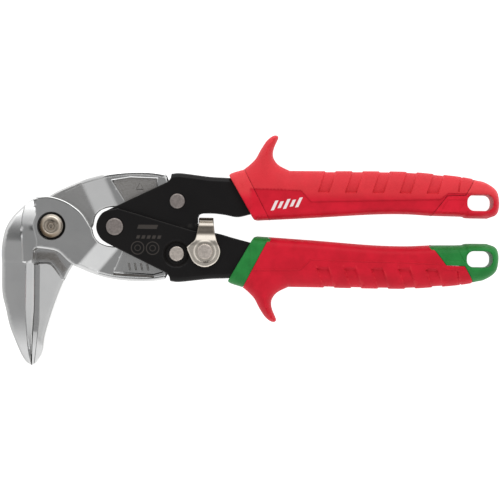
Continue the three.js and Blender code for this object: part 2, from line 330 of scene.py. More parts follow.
# One number at each point of a surface; sums and products add Math nodes.
class Value:
    def __init__(self, look, socket):
        self.look, self.socket = look, socket

    def calc(self, operation, *others, clamp=False):
        return self.look.node("ShaderNodeMath", {"operation": operation, "use_clamp": clamp},
                              dict(enumerate((self, *others))))

    def __add__(self, other):
        return self.calc("ADD", other)

    def __radd__(self, other):
        return self.calc("ADD", other)

    def __sub__(self, other):
        return self.calc("SUBTRACT", other)

    def __rsub__(self, other):
        return self.look.node("ShaderNodeMath", {"operation": "SUBTRACT"}, {0: other, 1: self})

    def __mul__(self, other):
        return self.calc("MULTIPLY", other)

    def __rmul__(self, other):
        return self.calc("MULTIPLY", other)

    def __truediv__(self, other):
        return self.calc("DIVIDE", other)

    def __pow__(self, other):
        return self.calc("POWER", other)

    def __abs__(self):
        return self.calc("ABSOLUTE")

    def atLeast(self, other):
        return self.calc("MAXIMUM", other)

    def clamped(self):
        return self.calc("ADD", 0.0, clamp=True)


class Look:
    def __init__(self, name):
        self.material = bpy.data.materials.new(name)
        self.material.use_nodes = True
        self.tree = self.material.node_tree
        self.tree.nodes.clear()
        self.shader = self.tree.nodes.new("ShaderNodeBsdfPrincipled")
        out = self.tree.nodes.new("ShaderNodeOutputMaterial")
        self.tree.links.new(self.shader.outputs[0], out.inputs[0])
        where = self.node("ShaderNodeTexCoord", {}, {}, "Object")
        self.mm = self.node("ShaderNodeMapping", {}, {"Vector": where, "Scale": (1000, 1000, 1000)})

    def node(self, kind, settings, inputs, output=0):
        made = self.tree.nodes.new(kind)
        for key, value in settings.items():
            if key == "stops":
                while len(made.color_ramp.elements) < len(value):
                    made.color_ramp.elements.new(0.5)
                for element, (place, colour) in zip(made.color_ramp.elements, value):
                    element.position, element.color = place, (*colour, 1) if len(colour) == 3 else colour
            else:
                setattr(made, key, value)
        for key, value in inputs.items():
            if isinstance(value, Value):
                self.tree.links.new(value.socket, made.inputs[key])
            else:
                made.inputs[key].default_value = value
        return Value(self, made.outputs[output])

    def noise(self, scale, detail, rough, stretch=None):
        where = self.mm
        if stretch:
            where = self.node("ShaderNodeMapping", {}, {"Vector": self.mm, "Scale": stretch})
        return self.node("ShaderNodeTexNoise", {}, {
            "Vector": where, "Scale": scale, "Detail": detail, "Roughness": rough})

    def cells(self, scale):
        return self.node("ShaderNodeTexVoronoi", {}, {"Vector": self.mm, "Scale": scale})

    def between(self, value, low, high, outLow=0.0, outHigh=1.0):
        return self.node("ShaderNodeMapRange", {"interpolation_type": "SMOOTHSTEP"}, {
            "Value": value, "From Min": low, "From Max": high, "To Min": outLow, "To Max": outHigh})

    def mixed(self, mask, a, b):
        made = self.tree.nodes.new("ShaderNodeMix")
        made.data_type = "RGBA"
        made.clamp_factor = True
        for index, value in ((0, mask), (6, a), (7, b)):
            if isinstance(value, Value):
                self.tree.links.new(value.socket, made.inputs[index])
            elif index:
                made.inputs[index].default_value = (*value, 1)
            else:
                made.inputs[index].default_value = value
        return Value(self, made.outputs[2])

    def attribute(self, name):
        return self.node("ShaderNodeAttribute", {"attribute_name": name}, {}, "Fac")

    def axes(self):
        where = self.node("ShaderNodeVectorMath", {"operation": "SUBTRACT"}, {
            0: self.mm, 1: tuple(origin * 1000)})
        parts = self.tree.nodes.new("ShaderNodeSeparateXYZ")
        self.tree.links.new(where.socket, parts.inputs[0])
        return [Value(self, s) for s in parts.outputs]

    def bump(self, height, distance, strength):
        return self.node("ShaderNodeBump", {}, {
            "Height": height, "Distance": distance / 1000, "Strength": strength})

    def set(self, **sockets):
        for key, value in sockets.items():
            slot = self.shader.inputs[key.replace("_", " ")]
            if isinstance(value, Value):
                self.tree.links.new(value.socket, slot)
            else:
                slot.default_value = (*value, 1) if isinstance(value, tuple) and len(value) == 3 else value
        return self.material


# Forged jaw steel: blasted and lightly ground; painted shade darkens the hollows and recesses, and the edges are
# lightened partly by wear, partly as a painted highlight.
def jawSteel():
    look = Look("jawSteel")
    blast = look.noise(2.6, 4, 0.6)
    cloud = look.noise(0.09, 4, 0.6)
    grind = look.noise(1.2, 3, 0.6, stretch=(0.25, 3.0, 1.0))
    scratch = look.between(look.noise(0.8, 2, 0.5, stretch=(0.08, 6.0, 1.0)), 0.66, 0.74)
    low = look.attribute("hollow")
    shine = look.attribute("rub")
    base = look.mixed(cloud, (0.50, 0.505, 0.51), (0.59, 0.59, 0.585))
    # painted shade and a painted dark reflection: darker steel in the pockets, trenches, recess, counterbore and on
    # the rear arm's root
    base = look.mixed(low * look.between(blast, 0.3, 0.7, 0.55, 1.0), base, (0.205, 0.192, 0.18))
    # lighter edges: real wear together with a painted highlight
    base = look.mixed(shine * 0.9, base, (0.76, 0.76, 0.75))
    rough = 0.155 + cloud * 0.05 + grind * 0.04 + low * 0.25 - shine * 0.03 + scratch * 0.05
    grain = blast * (0.35 + low * 1.6) + grind * 0.5 + scratch * -0.25
    return look.set(Base_Color=base, Metallic=1.0, Roughness=rough.clamped(),
                    Normal=look.bump(grain, 0.006, 0.6))


# Satin black coat on the pressed handle plates, with faint plain etched rings and bars.
def blackCoat(etched):
    look = Look("blackCoatEtched" if etched else "blackCoat")
    peel = look.noise(1.1, 3, 0.5)
    fine = look.noise(6.0, 2, 0.5)
    patch = look.noise(0.06, 3, 0.6)
    dust = look.between(look.noise(3.0, 4, 0.7), 0.62, 0.8)
    edgeWearAndSheen = look.attribute("rub")
    base = look.mixed(patch, (0.0032, 0.0028, 0.0031), (0.0060, 0.0053, 0.0052))
    base = look.mixed(dust * 0.25, base, (0.05, 0.048, 0.045))
    # lighter edges: paint wear together with a painted highlight
    base = look.mixed(edgeWearAndSheen * look.between(fine, 0.35, 0.6), base, (0.16, 0.15, 0.14))
    rough = 0.30 + patch * 0.10 + fine * 0.06
    if etched:
        x, y, z = look.axes()
        face = look.between(z, 7.3, 7.5)
        mark = None
        for cx, cy in etched["rings"]:
            away = ((x - cx) ** 2 + (y - cy) ** 2) ** 0.5
            for radius, wide in ((etched["radius"], 0.17), (etched["radius"] * 0.45, 0.12)):
                ring = look.between(abs(away - radius), wide, wide + 0.12, 1.0, 0.0)
                mark = ring if mark is None else mark.atLeast(ring)
        for cx, cy, long, tall in etched["bars"]:
            bar = (look.between(abs(x - cx - (y - cy) * 0.35), long / 2, long / 2 + 0.15, 1.0, 0.0)
                   * look.between(abs(y - cy), tall / 2, tall / 2 + 0.12, 1.0, 0.0))
            mark = mark.atLeast(bar)
        mark = mark * face * look.between(fine, 0.2, 0.6, 0.6, 1.0)
        base = look.mixed(mark * 0.5, base, (0.085, 0.074, 0.066))
        rough = rough + mark * 0.12
    return look.set(Base_Color=base, Metallic=0.0, Roughness=rough.clamped(), Specular_IOR_Level=0.17,
                    Normal=look.bump(peel * 0.6 + fine * 0.15, 0.03, 0.35))


# Two-shot grip plastics: fine spark-eroded texture, slight mottling, high edges lightened by scuffs and a painted
# highlight, painted shade in the grooves and seams.
def gripPlastic(name, deep, bright, scuffAndSheenTone, texture=1.0, smoothness=0.0, badge=()):
    look = Look(name)
    stipple = look.cells(3.4)
    fine = look.noise(5.0, 3, 0.6)
    mottle = look.noise(0.12, 4, 0.6)
    scuffAndSheen = look.attribute("rub")
    low = look.attribute("hollow")
    base = look.mixed(look.between(mottle, 0.3, 0.7), deep, bright)
    base = look.mixed(scuffAndSheen * look.between(fine, 0.35, 0.65, 0.3, 0.7), base, scuffAndSheenTone)
    # painted shade: darker in the grooves and seams
    base = look.mixed(low * 0.45, base, tuple(c * 0.55 for c in deep))
    if badge:
        x, y, z = look.axes()
        mark = None
        for cx, cy, long, tall in badge:
            bar = (look.between(abs(x - cx - (y - cy) * 0.45), long / 2, long / 2 + 0.2, 1.0, 0.0)
                   * look.between(abs(y - cy - (x - 116) * 0.14), tall / 2, tall / 2 + 0.15, 1.0, 0.0))
            mark = bar if mark is None else mark.atLeast(bar)
        mark = mark * look.between(z, 8.0, 8.4) * look.between(fine, 0.25, 0.4, 0.8, 1.0)
        base = look.mixed(mark * 0.93, base, (0.80, 0.74, 0.74))
    rough = 0.50 - smoothness + mottle * 0.08 + fine * 0.06 + low * 0.1
    return look.set(Base_Color=base, Roughness=rough.clamped(), Specular_IOR_Level=0.18,
                    Normal=look.bump(stipple * 0.5 + fine * 0.6, 0.035 * texture, 0.5))


# Warm bright nickel on the latch and the bolt.
def warmNickel():
    look = Look("warmNickel")
    cloud = look.noise(0.35, 4, 0.6)
    fine = look.noise(4.0, 3, 0.6)
    speck = look.between(look.noise(2.2, 4, 0.7), 0.64, 0.8)
    low = look.attribute("hollow")
    base = look.mixed(cloud, (0.66, 0.60, 0.53), (0.84, 0.78, 0.69))
    base = look.mixed(speck * 0.5, base, (0.38, 0.32, 0.26))
    # a brown tint, which also carries painted light on one side of the bolt's crown and painted shade on the latch's
    # neck
    base = look.mixed(look.attribute("warm"), base, (0.17, 0.125, 0.082))
    # near black: painted shade in the bolt's socket, on its edge and round the latch's neck, and the latch tab's end
    # painted dark
    base = look.mixed(low, base, (0.035, 0.028, 0.022))
    rough = 0.14 + cloud * 0.08 + fine * 0.05 + low * 0.25
    return look.set(Base_Color=base, Metallic=1.0, Roughness=rough.clamped(),
                    Normal=look.bump(fine * 0.4 + cloud * 0.6, 0.012, 0.5))


# Dull plated steel of the rivets and washers, with turning marks round each axis.
def rivetSteel(name, centres, tint=(0.30, 0.265, 0.25)):
    look = Look(name)
    x, y, z = look.axes()
    rings = None
    for cx, cy in centres:
        away = ((x - cx) ** 2 + (y - cy) ** 2) ** 0.5
        wave = (away * 9.0 + look.noise(0.8, 2, 0.5) * 1.5).calc("SINE")
        near = look.between(away, 4.6, 5.2, 1.0, 0.0)
        rings = wave * near if rings is None else rings + wave * near
    cloud = look.noise(0.9, 4, 0.65)
    fine = look.noise(5.0, 3, 0.6)
    base = look.mixed(look.between(cloud, 0.3, 0.7), tuple(c * 0.72 for c in tint), tint)
    base = look.mixed(look.between(fine, 0.6, 0.75) * 0.5, base, (0.62, 0.60, 0.58))
    rough = 0.34 + cloud * 0.14 + fine * 0.06
    return look.set(Base_Color=base, Metallic=1.0, Roughness=rough.clamped(),
                    Normal=look.bump(rings * 0.12 + fine * 0.6 + cloud * 0.8, 0.03, 0.6))


etchedMarks = {  # centres, and width and height for the bars
    "rings": [(42.8, -10.3), (50.2, -10.4)], "radius": 3.1,
    "bars": [(47.6, 0.1, 9.5, 1.9)] + [(43.0 + 2.6 * i, -4.9, 1.5, 1.5) for i in range(5)],
}
plainDashes = [(110.4 + 2.8 * i, 12.2, 1.3, 3.0 if i % 2 else 4.4) for i in range(5)]
redTones = (0.50, 0.0045, 0.018), (0.60, 0.0065, 0.024), (0.72, 0.055, 0.06)
coreTones = (0.56, 0.0055, 0.021), (0.66, 0.0085, 0.029), (0.76, 0.08, 0.08)
greenTones = (0.012, 0.165, 0.030), (0.018, 0.215, 0.042), (0.10, 0.32, 0.14)
looks = {
    "jaw": jawSteel(),
    "black": blackCoat(None),
    "blackEtched": blackCoat(etchedMarks),
    "red": gripPlastic("redOvermould", *redTones),
    "redBadged": gripPlastic("redOvermouldBadged", *redTones, badge=plainDashes),
    "redCore": gripPlastic("redCore", *coreTones, 0.7, 0.06),
    "green": gripPlastic("greenCore", *greenTones, 0.7, 0.06),
    "nickel": warmNickel(),
    "rivet": rivetSteel("rivetSteel", [handlePivot, upperRivet]),
    "rivetPale": rivetSteel("rivetSteelPale", [lowerRivet, latchPivot], (0.60, 0.54, 0.49)),
    "plated": rivetSteel("platedSteel", [(0, 0)], (0.55, 0.53, 0.51)),
}
print("finishes made")

# Jaws: heights of the faces, then what is cut into them and raised on them.
jaw = {
    "hub": 6.2, "tail": 2.7, "gap": 0.15, "shoulder": -18.5,
    "rim": 1.0, "rimSpread": 1.35, "borderLine": 1.85, "borderHalf": 0.28,
    "pocketDepth": 0.85, "pocketWall": 0.55, "lip": 0.3, "lipWidth": 0.45,
    "trenchDepth": 0.7, "trenchWall": 0.3, "castDepth": 0.3, "castWall": 0.25, "markHeight": 0.4, "markWall": 0.3,
    "counterbore": 7.05, "boreWall": 0.15, "boreFloor": 3.6, "boltHole": 4.2, "rivetHole": 3.3,
    "step": 0.9, "rings": (0.1, 0.25, 0.5, 0.8, 1.15),
}
crestUpper = path((-9.3, 13.7), [(-12.6, 10.4), (-14.2, 4.4), (-14.2, -4.6), (-13.8, -12), (-13.6, -17.6)])
crestLower = path((-12.1, -19.4), [(-12.1, -36.7), (-11.9, -46.6), (-10.8, -61), (-9.6, -69.1)])
scallop = path((-8.9, 13.6), (-7.0, 5.3), [(-7.8, 3.2), (-8.6, 0), (-7.8, -3.2), (-6.8, -6.8)], (-6.8, -10.8),
               (-8.2, -12.4), (-8.4, -17.4), (-8.0, -19.4))
cuttingEdge = path((-8.0, -19.4), [(-7.9, -36.7), (-8.3, -46.5), (-9.2, -61.4), (-9.5, -69.2)])
tailEye = [(57, -5.8), (62, -4.4), (67.5, -6.4), (70.6, -13), (67.5, -19.6), (62, -21.6)]
clearance = [(20, -1.2), (21.2, -5.1), (23.6, -7.9), (26.8, -9.3), (30, -9.8)]


# The same points on the other side of the X axis.
def mirrored(points):
    return [(x, -y) for x, y in points]


def along(line, y):
    line = np.array(line)[np.argsort(np.array(line)[:, 1])]
    return np.interp(y, line[:, 1], line[:, 0])


frontOutline = path(
    (-9.3, 13.7),
    [(-5.9, 14.4), (-0.6, 14.5), (6, 12.6), (11.2, 9.6), (15.2, 6.1), (18.4, 1.4), (20, -1.2)],
    clearance[1:], [(40, -9.6), (50, -8.2), (57, -5.8)], tailEye[1:],
    (58, -22), (56.3, -25.8), [(49, -26.8), (39.1, -26.8), (29.2, -25.7), (20.2, -23.3), (10.4, -19.1)],
    [(7.4, -16.7), (3.4, -13.1), (-0.6, -11.9), (-6.6, -11.2)], (-7.9, -12.2), (-8.4, -17.4), (-8.0, -19.4),
    [(-7.9, -36.7), (-8.3, -46.5), (-9.1, -61.4), (-9.4, -69.1)],
    [(-11.8, -67.6), (-14.3, -63.7), (-17.5, -55.8), (-20, -48.9), (-21.8, -41), (-23.7, -32.7),
     (-24, -19.6), (-24.3, -13.1), (-23.6, -6.2), (-22, -0.3), (-18.6, 5.2), (-13.7, 10.2), (-9.3, 13.7)],
)
lowerPocket = np.array([(35.4, -12.0), (31.2, -22.2), (31.8, -22.7), (50.6, -23.7), (55.2, -22.4), (58, -15),
                        (45, -9)])
pocketTrench = np.array([(30.6, -22.9), (50.6, -23.9), (50.9, -24.9), (30.8, -24.0)])
lowerArmEdge = path((10.4, -19.1), [(20.2, -23.3), (29.2, -25.7), (39.1, -26.8), (49, -26.8), (56.3, -25.8)])
upperArmEdge = path((4, 18.2), [(9.9, 21), (15.8, 23.4), (21.7, 25.1), (27.6, 26.4), (33.5, 27.2), (39.4, 27.7),
                               (45.4, 27.8), (51.3, 27.4), (56.2, 26.6)])


def slantBar(x, y, wide, tall, lean):
    w, t = wide / 2, tall / 2
    return np.array([(x - w - lean * t, y - t), (x + w - lean * t, y - t), (x + w + lean * t, y + t),
                     (x - w + lean * t, y + t)])


castMarks = [slantBar(x, -19.6, 1.0, 3.6, -0.2) for x in (38.6, 41.6, 44.6, 47.6)]
raisedMark = np.array([(41.2, 18.6), (45.4, 18.6), (43.3, 22.2)])
upperPocket = np.array([(29.3, 23.0), (38.5, 24.6), (51.8, 24.2), (51.8, 15), (37.3, 10.8)])
frontBend = {"angle": -0.70, "start": 22.5, "end": 32.2, "soft": 0.9}
rearBend = {"angle": 0.44, "start": 22.0, "end": 33.6, "soft": 0.9}


def bendAxis(p, bend):
    return p[:, 0] * math.cos(bend["angle"]) + p[:, 1] * math.sin(bend["angle"])


def bendLines(bend):
    lines = []
    c, s = math.cos(bend["angle"]), math.sin(bend["angle"])
    across = np.array([-s, c]) * 22
    for u in (bend["start"], bend["end"]):
        for shift in (-bend["soft"], bend["soft"]):
            m = np.array([(u + shift) * c, (u + shift) * s])
            lines.append(np.array([m + across, m - across]))
    return lines


# Straight ramp between two levels across a bend, with slightly rounded corners.
def bentLevel(p, bend, low, high):
    t = (bendAxis(p, bend) - bend["start"]) / (bend["end"] - bend["start"])
    w = bend["soft"] / (bend["end"] - bend["start"])
    x = np.clip(t, 0, 1)
    x = np.where(np.abs(t) < w, (t + w) ** 2 / (4 * w), x)
    x = np.where(np.abs(t - 1) < w, 1 - (1 + w - t) ** 2 / (4 * w), x)
    return low + (high - low) * x


# Heights of the wing and of the band beside it along the blade: level, then turning down at the top end.
wingCurve = smooth([(-70, 2.4), (-66, 4.4), (-58, 7.3), (-47, 9.0), (-30, 9.4), (-12, 9.5), (-9.5, 9.5), (-7.5, 9.42),
                    (-5, 9.1), (-2.5, 8.64), (0, 8.1), (2.5, 7.47), (5, 6.72), (8, 5.6), (11, 4.1), (13.8, 2.2)], 1.0)
bandCurve = smooth([(-20, 8.75), (-12, 8.75), (-3, 8.75), (0, 8.72), (2, 8.58), (4, 8.3), (6, 7.87), (8, 7.3),
                    (10, 6.6), (12, 5.75), (13.8, 4.9)], 1.0)
wing = {"bandLean": 0.19, "bandMiddle": -11.6, "edgeStep": 0.5, "edgeDrop": 1.7, "wingLean": 0.045}


def levelAlong(curve, y):
    return np.interp(y, *np.array(curve).T)


# How much of the rim's raised line each point carries.
def borderLine(p, edge):
    away = np.abs(nearest(p, edge) - jaw["borderLine"])
    return np.clip(1 - away / jaw["borderHalf"], 0, 1)


def pocketLip(p, pocket):
    return jaw["lip"] * (1 - ramp(nearest(p, pocket, True), 0, jaw["lipWidth"]))


def frontTop(p):
    x, y = p.T
    z = bentLevel(p, frontBend, jaw["hub"], jaw["tail"])
    z = z + pocketLip(p, lowerPocket) * (1 - ramp(x, 35.8, 36.8)) * ramp(y, -23.2, -22.2)
    z = z - jaw["pocketDepth"] * well(p, lowerPocket, jaw["pocketWall"])
    z = z - jaw["trenchDepth"] * well(p, pocketTrench, jaw["trenchWall"])
    for mark in castMarks:
        z = z - jaw["castDepth"] * well(p, mark, jaw["castWall"])
    inBore = np.clip((jaw["counterbore"] - np.hypot(x, y)) / jaw["boreWall"], 0, 1)
    z = z - (z - jaw["boreFloor"]) * inBore
    # raised band and wing on the blade side
    rise = levelAlong(wingCurve, y)
    band = levelAlong(bandCurve, y) - wing["bandLean"] * ramp(y, -3, 2) * (x - wing["bandMiddle"])
    upperPart = y > jaw["shoulder"]
    crest = np.where(upperPart, along(crestUpper, y), along(crestLower, y))
    inner = along(scallop, y)
    onBand = np.clip((inner - x) / 0.5, 0, 1)
    onWing = np.clip((crest + 0.35 - x) / 0.7, 0, 1)
    zUpper = z + (band - z) * onBand + (rise - band) * onWing * onBand
    edge = along(cuttingEdge, y)
    slope = np.clip((x - crest) / np.maximum(edge - crest, 0.4), 0, 1)
    zLower = rise - wing["edgeStep"] * np.clip((x - crest) / 0.35, 0, 1) - wing["edgeDrop"] * slope
    z = np.where(upperPart, np.where(x < inner + 0.5, zUpper, z), np.where(x < edge + 1.2, zLower, z))
    z = z - np.where(x < crest, wing["wingLean"] * np.clip(crest - x, 0, 12), 0)
    return z - frontRim(p)


# The rounded rim, smaller at the hub, along the cutting edge and where the handle covers it.
def frontRim(p):
    d = nearest(p, frontOutline, True)
    x, y = p.T
    size = np.where((x < -7) & (y < -18), 0.9, jaw["rim"])
    size = np.where((x > 20) & (y > -14), 0.4, size)
    size = np.where((x > -7) & (x < 21) & (y > -6), 0.5, size)
    size = np.where((np.abs(x + 8) < 1.2) & (y < -12), 0.35, size)
    return size * (1 - round1(d, size * jaw["rimSpread"])) + 0.2 * borderLine(p, lowerArmEdge) * (x > 14)


def frontBottom(p):
    x, y = p.T
    z = bentLevel(p, frontBend, jaw["gap"], -jaw["tail"])
    d = nearest(p, frontOutline, True)
    hollow = np.interp(x, [-30, -17, -12.6], [5.3, 5.2, jaw["gap"]])
    root = ramp(y, -16, -11)
    z = np.where(x < -12.6, hollow * (1 - root) + jaw["gap"] * root, z)
    chip = np.where((x < -7) & (x > -10) & (y < -12), 0.0, 0.5)
    return z + chip * (1 - round1(d, 0.5))


# Lines on either side of the raised line that runs along an arm's edge.
def borderLines(edge, side):
    middle, half = jaw["borderLine"], jaw["borderHalf"]
    return [beside(edge, side * d) for d in (middle - half, middle, middle + half)]


frontLines = [
    crestUpper + [0.35, 0], crestUpper - [0.35, 0], crestLower, crestLower + [0.35, 0], scallop, scallop - [0.5, 0],
    *ringLines(circle((0, 0), 6.9, 72), -jaw["boreWall"]), *ringLines(pocketTrench, jaw["trenchWall"]),
    *[line for mark in castMarks for line in ringLines(mark, jaw["castWall"])],
    *ringLines(lowerPocket, -jaw["lipWidth"]), *borderLines(lowerArmEdge[6:], 1),
    *[np.array([(-24, y), (-8.5, y)]) for y in (jaw["shoulder"], jaw["shoulder"] - 0.1)],
    *ringLines(lowerPocket, jaw["pocketWall"]), *bendLines(frontBend),
]
frontShell = slab(frontOutline, frontTop, frontBottom, jaw["step"], jaw["rings"], frontLines,
                  [circle((0, 0), jaw["boltHole"]), circle(lowerRivet, jaw["rivetHole"])])


# Where a jaw gets edge wear with a painted highlight, and where painted shade darkens its pockets, trenches, cast
# marks and bolt counterbore; the underside has less highlight and no shade.
def jawMarks(verts, outline, pocket, floorLow):
    flat = verts[:, :2]
    n = len(flat) // 2
    rub = np.clip(1 - nearest(flat, outline, True) / 1.1, 0, 1) ** 1.2
    hollow = well(flat, pocket, 0.8) * floorLow
    for mark in [pocketTrench, *castMarks]:
        hollow = np.maximum(hollow, well(flat, mark, 0.3) * (1.5 if mark is pocketTrench else 1.2))
    hollow = np.maximum(hollow, np.hypot(*flat.T) < 6.95)
    hollow[n:] = 0
    rub[n:] *= 0.6
    return {"rub": rub * 0.8, "hollow": hollow}


frontAttributes = jawMarks(frontShell[0], frontOutline, lowerPocket, 0.15)
frontJaw = makeMesh("frontJawForging", *frontShell, looks["jaw"], attributes=frontAttributes)
finished(frontJaw, "front_jaw", "forged_steel", "front_jaw")

rearOutline = path(
    (56.2, 26.6),
    [(51.3, 27.4), (45.4, 27.8), (39.4, 27.7), (33.5, 27.2), (27.6, 26.4), (21.7, 25.1), (15.8, 23.4), (9.9, 21),
     (2.8, 17.7), (-0.2, 16), (-3, 14.3)],
    [(-7.5, 11), (-11, 5), (-12, -3), (-11.2, -11), (-9.2, -17.6)],
    [(-9.1, -36), (-9.3, -50), (-9.8, -61), (-9.4, -69.2)],
    [(-6.4, -67.1), (-3.6, -61.8), (-2.3, -53.9), (1.1, -41.7), (4.7, -31.3), (8.0, -23.6), (10.6, -19.1)],
    [(14, -12), (17.6, -5), (20.2, 0.6)],
    mirrored(clearance[1:]), mirrored([(40, -9.6), (50, -8.2), (57, -5.8)]), mirrored(tailEye[1:]), (58, 22),
)
recessEdge = path((-6.0, -18.0), [(-1.5, -18.0), (1.5, -19.8), (6.2, -26.2)])
ridgeSide = path((-6.0, -18.0), (-6.0, -46.5), [(-7.2, -58), (-8.5, -67.5)])
grooveSide = path((-7.93, -18.0), (-7.8, -36.7), [(-8.2, -46.5), (-9.02, -61.4), (-9.32, -68.6)])
bladeBody = np.vstack([grooveSide[::-1], recessEdge, [(14, -26), (14, -75), (-9.4, -75)]])
recessLine = np.vstack([[(-9, -18.0)], recessEdge])
ridge = {"height": 6.75, "lean": 0.27, "below": 1.3, "floor": 6.15, "floorBelow": 2.3, "wall": 0.9,
         "grooveWall": 0.15, "rampStart": 0.3, "rampEnd": 0.75}


def rearTop(p):
    x, y = p.T
    z = bentLevel(p, rearBend, -jaw["gap"], jaw["tail"]) + pocketLip(p, upperPocket)
    z = z - jaw["pocketDepth"] * well(p, upperPocket, jaw["pocketWall"])
    z = z + jaw["markHeight"] * well(p, raisedMark, jaw["markWall"])
    front = levelAlong(wingCurve, y)
    height = ridge["height"] - ridge["lean"] * np.clip(x + 6, 0, 20) - 0.5 * ramp(-y, 45, 69)
    height = np.minimum(height, np.maximum(front - ridge["below"], 0.6))
    floor = np.minimum(np.minimum(ridge["floor"], height - 0.25), np.maximum(front - ridge["floorBelow"], 0.5))
    wall = within(p, bladeBody) * np.clip(nearest(p, recessLine) / ridge["wall"], 0, 1)
    wall = wall * np.clip(nearest(p, grooveSide) / ridge["grooveWall"], 0, 1)
    z = z + wall * (floor + (height - floor) * ramp(x - along(ridgeSide, y), ridge["rampStart"], ridge["rampEnd"]))
    return z - rearRim(p)


def rearRim(p):
    d = nearest(p, rearOutline, True)
    x, y = p.T
    size = np.where((x < -6) & (y < -12), 0.15, jaw["rim"])
    size = np.where((x > 20) & (y < 12), 0.4, size)
    return size * (1 - round1(d, size * jaw["rimSpread"])) + 0.22 * borderLine(p, upperArmEdge) * (x > 5)


# Under the blade the body thins toward the tip; the tail stays full height at its rim.
def rearBottom(p):
    x, y = p.T
    level = bentLevel(p, rearBend, -jaw["hub"], -jaw["tail"])
    z = np.where(y < -14, np.interp(y, [-70, -30, -14], [-2.0, -5.0, -6.2]), level)
    z = z + np.clip(-5 - x, 0, 8) * 0.42 * ramp(-y, 8, 18)
    d = nearest(p, rearOutline, True)
    z = np.minimum(z + 0.9 * (1 - round1(d, 1.0)), -1.1)
    return np.where(bendAxis(p, rearBend) > rearBend["start"], level + 0.6 * (1 - round1(d, 0.7)), z)


rearLines = [
    *ringLines(upperPocket, jaw["pocketWall"]), *ringLines(upperPocket, -jaw["lipWidth"]),
    *borderLines(upperArmEdge[4:-2], -1), *ringLines(raisedMark, jaw["markWall"]),
    grooveSide, grooveSide + [ridge["grooveWall"], 0], recessEdge, beside(recessEdge, -ridge["wall"]),
    ridgeSide + [ridge["rampStart"], 0], ridgeSide + [ridge["rampEnd"], 0], *bendLines(rearBend),
]
rearShell = slab(rearOutline, rearTop, rearBottom, jaw["step"], jaw["rings"], rearLines,
                 [circle((0, 0), jaw["boltHole"]), circle(upperRivet, jaw["rivetHole"])])
rearAttributes = jawMarks(rearShell[0], rearOutline, upperPocket, 1.0)
# painted shade also in the recess under the hub, and a painted dark reflection on the arm's root
recess = np.array([(-8.6, -12.4), (1.7, -12.4), (8.4, -21.4), (5.2, -24.2), (0.6, -18.9), (-1.6, -17.6),
                   (-8.6, -17.6)])
flat = rearShell[0][:, :2]
root = (1 - ramp(bendAxis(flat, rearBend), 20.5, 22.5)) * (flat[:, 1] > 0)
shaded = np.maximum(well(flat, recess, 1.0) * 1.1, 0.45 * root)
shaded[len(flat) // 2:] = 0
rearAttributes["hollow"] = np.maximum(rearAttributes["hollow"], shaded)
rearJaw = makeMesh("rearJawForging", *rearShell, looks["jaw"], attributes=rearAttributes)
finished(rearJaw, "rear_jaw", "forged_steel", "rear_jaw")
print("jaws made")

# Pressed handle frames, drawn as the upper one.
plate = {
    "inner": 5.2, "outer": 7.7, "thick": metalThick, "bend": 2.6, "webSeam": -1.25, "webStart": 58.9,
    "edgeDrop": 0.28, "edgeRound": 0.3, "dimple": 2.5, "dimpleFace": (4.9, 7.0), "dimpleBack": (5.4, 7.4),
    "rivetHole": 3.3, "step": 1.3, "rings": (0.08, 0.3, 0.8, 1.5, 2.2),
}
topEdge = [(59.0, 26.6), (64, 26.9), (78, 25.3), (88, 24.8), (97, 23.6), (110, 22.5)]
webLine = path(topEdge[0], topEdge[1:])
plateStart = [(27.4, 8.1), (57.3, 22.6), (58.6, 24.4), topEdge[0], topEdge[1:], (110, 8.6), (98.2, 7)]
latchBay = [[(91.8, 5.6), (85.6, 6.6), (80.2, 7.2), (74.8, 7.2)], [(73.0, 6.6), (72.2, 5)]]
plateEnd = [(32.8, -9), [(26.0, -7.3), (22.9, -3.2), (22.3, 1.2), (24.2, 5.5), (27.4, 8.1)]]
innerOutline = path(*plateStart, *latchBay, (72.2, 1), (76, 1), (76, -2.1), (72.2, -2.1), *plateEnd)
outerOutline = path(*plateStart, [(89.7, 4.8), (81.3, 2.6), (69.9, 1.6)], *plateEnd)
notchedOutline = path(*plateStart, *latchBay, (72.2, 2.3), (69.9, 1.6), *plateEnd)


# Face and back of one plate of the channel: it rolls over into the web, and may be dimpled at the arm rivet.
def plateSurfaces(outline, level, seam, dimple):
    def overWeb(p):
        return nearest(p, webLine), p[:, 0] > plate["webStart"]

    def sunk(p, spread):
        return dimple * (1 - ramp(np.hypot(*(p - upperRivet).T), *spread))

    def face(p):
        away, web = overWeb(p)
        z = np.where(web, level - plate["bend"] * (1 - round1(away, plate["bend"])), level)
        edge = 1 - round1(nearest(p, outline, True), plate["edgeRound"])
        return z - plate["edgeDrop"] * edge * (~web | (away > 1.0)) - sunk(p, plate["dimpleFace"])

    def back(p):
        away, web = overWeb(p)
        z = np.where(web & (away < plate["thick"]), seam, level - plate["thick"])
        return z - sunk(p, plate["dimpleBack"])

    return face, back


def framePlates(outline):
    webInside = inset(np.vstack([webLine, [(110, 0), (59, 0)]]), plate["thick"])[:len(webLine)]
    shared = [webInside, webInside + [0, -0.05]]
    rings = [looped(circle(upperRivet, r, 48)) for r in (4.9, 5.4, 5.9, 6.5, 7.0, 7.4)]
    holes = [circle(handlePivot, plate["rivetHole"]), circle(upperRivet, plate["rivetHole"])]
    innerShell = slab(innerOutline, *plateSurfaces(innerOutline, plate["inner"], plate["webSeam"], 0),
                      plate["step"], plate["rings"], shared, holes)
    # the outer plate lies at the back, so it is drawn with z pointing away and turned round
    verts, faces = slab(outline, *plateSurfaces(outline, plate["outer"], -plate["webSeam"], plate["dimple"]),
                        plate["step"], plate["rings"], shared + rings, holes)
    return joined(innerShell, (verts * [1, 1, -1], [f[::-1] for f in faces]))


